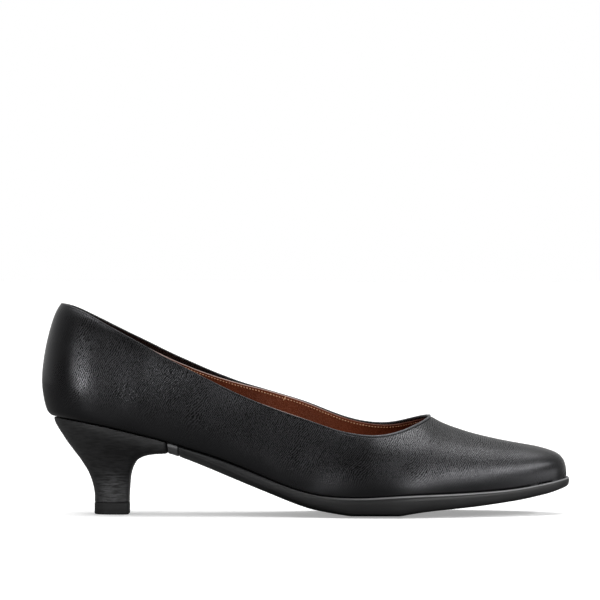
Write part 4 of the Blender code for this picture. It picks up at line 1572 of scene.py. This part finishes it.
@dataclass
class Studio:
    """Pale floor, even white surroundings, soft lights and the camera. Places are in metres."""

    floor_half: float = 14.0
    floor_colour: Colour = (0.9, 0.9, 0.9)
    floor_cloud: Colour = (0.891, 0.891, 0.891)
    floor_bounce: Colour = (0.15, 0.15, 0.15)
    floor_glow: float = 0.32
    floor_roughness: float = 0.9
    floor_specular: float = 0.1
    surround_front: float = 0.05
    surround_back: float = 0.60
    surround_turn: tuple[float, float] = (-0.5, 0.8)
    backdrop: float = 1.0
    sun_strength: float = 2.6
    sun_angle: float = 58.0
    sun_tilt: float = -6.0
    camera_distance: float = 2.2
    camera_height: float = 0.130
    camera_aim_x: float = -0.00277
    yaw: float = 1.0
    pitch: float = 0.683
    lens: float = 272.165
    sensor: float = 36.0
    clip: tuple[float, float] = (0.05, 60.0)
    boxes: tuple[SoftBox, ...] = (
        Snoot("counter_snoot", azimuth=-33.0, elevation=13.0, size=(0.21, 0.21), power=20.0, distance=0.8,
              aim=(-0.106, -0.022, 0.067), cone=15.0),
        SoftBox("toe_box", azimuth=44.0, elevation=31.0, size=(1.3, 0.13), power=7.5, distance=1.0,
                aim=(0.09, -0.02, 0.025), roll=28.0),
        SoftBox("side_box", azimuth=74.0, elevation=4.0, size=(0.7, 0.5), power=2.6, distance=1.2,
                aim=(0.0, -0.02, 0.03)),
        Snoot("quarter_snoot", azimuth=6.0, elevation=15.0, size=(0.14, 0.14), power=2.3, distance=0.9,
              aim=(-0.074, -0.025, 0.065), cone=9.0),
    )

    def build(self) -> None:
        """Sets up the floor, the light and the camera."""
        self.build_floor()
        self.build_surround()
        self.build_sun()
        for box in self.boxes:
            box.build()
        self.build_camera()
        bpy.context.scene.view_settings.view_transform = "Standard"

    def build_floor(self) -> None:
        """Wide plain floor: pale and faintly glowing to the camera, dark in what it throws back."""
        material, make, shader, place = new_material("pale_floor")
        cloud = make.add("TexNoise", {"Vector": place, "Scale": 2.0, "Detail": 2.0})
        tone = make.mix(cloud.outputs["Fac"], self.floor_colour, self.floor_cloud)
        seen = make.add("LightPath").outputs["Is Camera Ray"]
        make.put(shader, "Base Color", make.mix(seen, self.floor_bounce, tone))
        make.put(shader, "Emission Strength", make.maths("MULTIPLY", seen, self.floor_glow))
        make.put(shader, "Emission Color", (1.0, 1.0, 1.0, 1.0))
        make.put(shader, "Roughness", self.floor_roughness)
        make.put(shader, "Specular IOR Level", self.floor_specular)
        half = self.floor_half
        corners = np.array([(-half, -half, 0), (half, -half, 0), (half, half, 0), (-half, half, 0)])
        data = bpy.data.meshes.new("studio_floor")
        data.from_pydata(corners.tolist(), [], [(0, 1, 2, 3)])
        data.materials.append(material)
        floor = bpy.data.objects.new("studio_floor", data)
        bpy.context.scene.collection.objects.link(floor)

    def build_surround(self) -> None:
        """White surroundings: full behind the shoe for the camera, softer for the light they give."""
        world = bpy.data.worlds.new("white_surround")
        world.use_nodes = True
        make = Tree(world.node_tree)
        seen = make.add("LightPath").outputs["Is Camera Ray"]
        way = make.add("SeparateXYZ", {0: make.add("TexCoord").outputs["Generated"]}).outputs["Y"]
        given = make.fit(way, *self.surround_turn, self.surround_front, self.surround_back)
        strength = make.maths("MAXIMUM", make.maths("MULTIPLY", seen, self.backdrop), given)
        ground = world.node_tree.nodes["Background"]
        make.put(ground, "Color", (1.0, 1.0, 1.0, 1.0))
        make.put(ground, "Strength", strength)
        bpy.context.scene.world = world

    def build_sun(self) -> None:
        """Wide soft light from above and a little behind."""
        light = bpy.data.lights.new("overhead", "SUN")
        light.energy = self.sun_strength
        light.angle = np.radians(self.sun_angle)
        holder = bpy.data.objects.new("overhead", light)
        holder.rotation_euler.x = np.radians(self.sun_tilt)
        bpy.context.scene.collection.objects.link(holder)

    def build_camera(self) -> None:
        """Camera at the photograph's angle, level with the shoe and far away."""
        data = bpy.data.cameras.new("camera")
        data.lens = self.lens
        data.sensor_width = self.sensor
        yaw, pitch = np.radians(self.yaw), np.radians(self.pitch)
        camera = bpy.data.objects.new("camera", data)
        camera.location = (self.camera_aim_x + np.sin(yaw) * self.camera_distance,
                           -np.cos(yaw) * self.camera_distance, self.camera_height)
        ahead = Vector((-np.sin(yaw) * np.cos(pitch), np.cos(yaw) * np.cos(pitch), -np.sin(pitch)))
        camera.rotation_mode = "QUATERNION"
        camera.rotation_quaternion = ahead.to_track_quat("-Z", "Y")
        data.clip_start, data.clip_end = self.clip
        bpy.context.scene.collection.objects.link(camera)
        bpy.context.scene.camera = camera


# The black leather's edge tint is a painted highlight on the rim's fold near the throat.
BLACK_LEATHER = LeatherFinish(
    "black_leather", colour=(0.0055, 0.0055, 0.0058), pit_colour=(0.0015, 0.0015, 0.0015), roughness=0.29,
    rough_spread=0.03, cells=1230.0, grain_depth=0.032, specular=0.95, lined=0.8, lean=32.0, calm_mask="calm",
    edge_and_highlight_mask="fold", edge_and_highlight_colour=(0.11, 0.11, 0.115), tint=(0.95, 0.95, 1.0), pit_dull=0.97, calm_dull=0.65)
BROWN_LINING = LeatherFinish(
    "brown_lining", colour=(0.15, 0.034, 0.011), pit_colour=(0.09, 0.02, 0.007), roughness=0.48,
    rough_spread=0.05, cells=1500.0, grain_depth=0.05, specular=0.25, edge_and_highlight_mask="cut_edge",
    edge_and_highlight_colour=(0.46, 0.33, 0.29))
BROWN_SOCK = LeatherFinish(
    "brown_sock", colour=(0.21, 0.062, 0.022), pit_colour=(0.13, 0.035, 0.012), roughness=0.55,
    rough_spread=0.05, cells=1200.0, grain_depth=0.06, specular=0.5)
# The sole's edge tint paints a highlight along its lip and a reflection of the floor on the waist's bevel,
# and lightens the tab behind the groove.
BLACK_SOLE = MouldedFinish(
    "black_sole", colour=(0.011, 0.011, 0.0115), streak_colour=(0.014, 0.014, 0.0145), roughness=0.42,
    lines=500.0, streak_depth=0.03, edge_and_highlight_mask="edge", edge_and_highlight_colour=(0.26, 0.26, 0.265))
BLACK_HEEL = MouldedFinish(
    "black_heel", colour=(0.008, 0.008, 0.0082), streak_colour=(0.09, 0.09, 0.093), roughness=0.44,
    lines=1400.0, streak_depth=0.16, length=0.16, low_streaks_mask="low_streaks")
BLACK_LIFT = MouldedFinish(
    "black_lift", colour=(0.013, 0.013, 0.0132), streak_colour=(0.020, 0.020, 0.0203), roughness=0.6,
    lines=700.0, streak_depth=0.04, specular=0.35)


def main() -> None:
    """Builds the shoe piece by piece, then the studio."""
    logging.basicConfig(level=logging.INFO, format="%(name)s %(message)s")
    effects = Effects.build()
    last = Last()
    wall = Wall(last)
    upper = Upper(last, wall)
    thread = ThreadFinish().build(effects)
    upper.build_leather(BLACK_LEATHER.build(effects))
    upper.build_lining(BROWN_LINING.build(effects))
    upper.build_stitches(thread)
    upper.build_tack(thread)
    Sock(last, wall).build(BROWN_SOCK.build(effects))
    Outsole(last).build(BLACK_SOLE.build(effects))
    heel = Heel(last)
    heel.build_block(BLACK_HEEL.build(effects))
    heel.build_lift(BLACK_LIFT.build(effects))
    Studio().build()


if __name__ == "__main__":
    main()
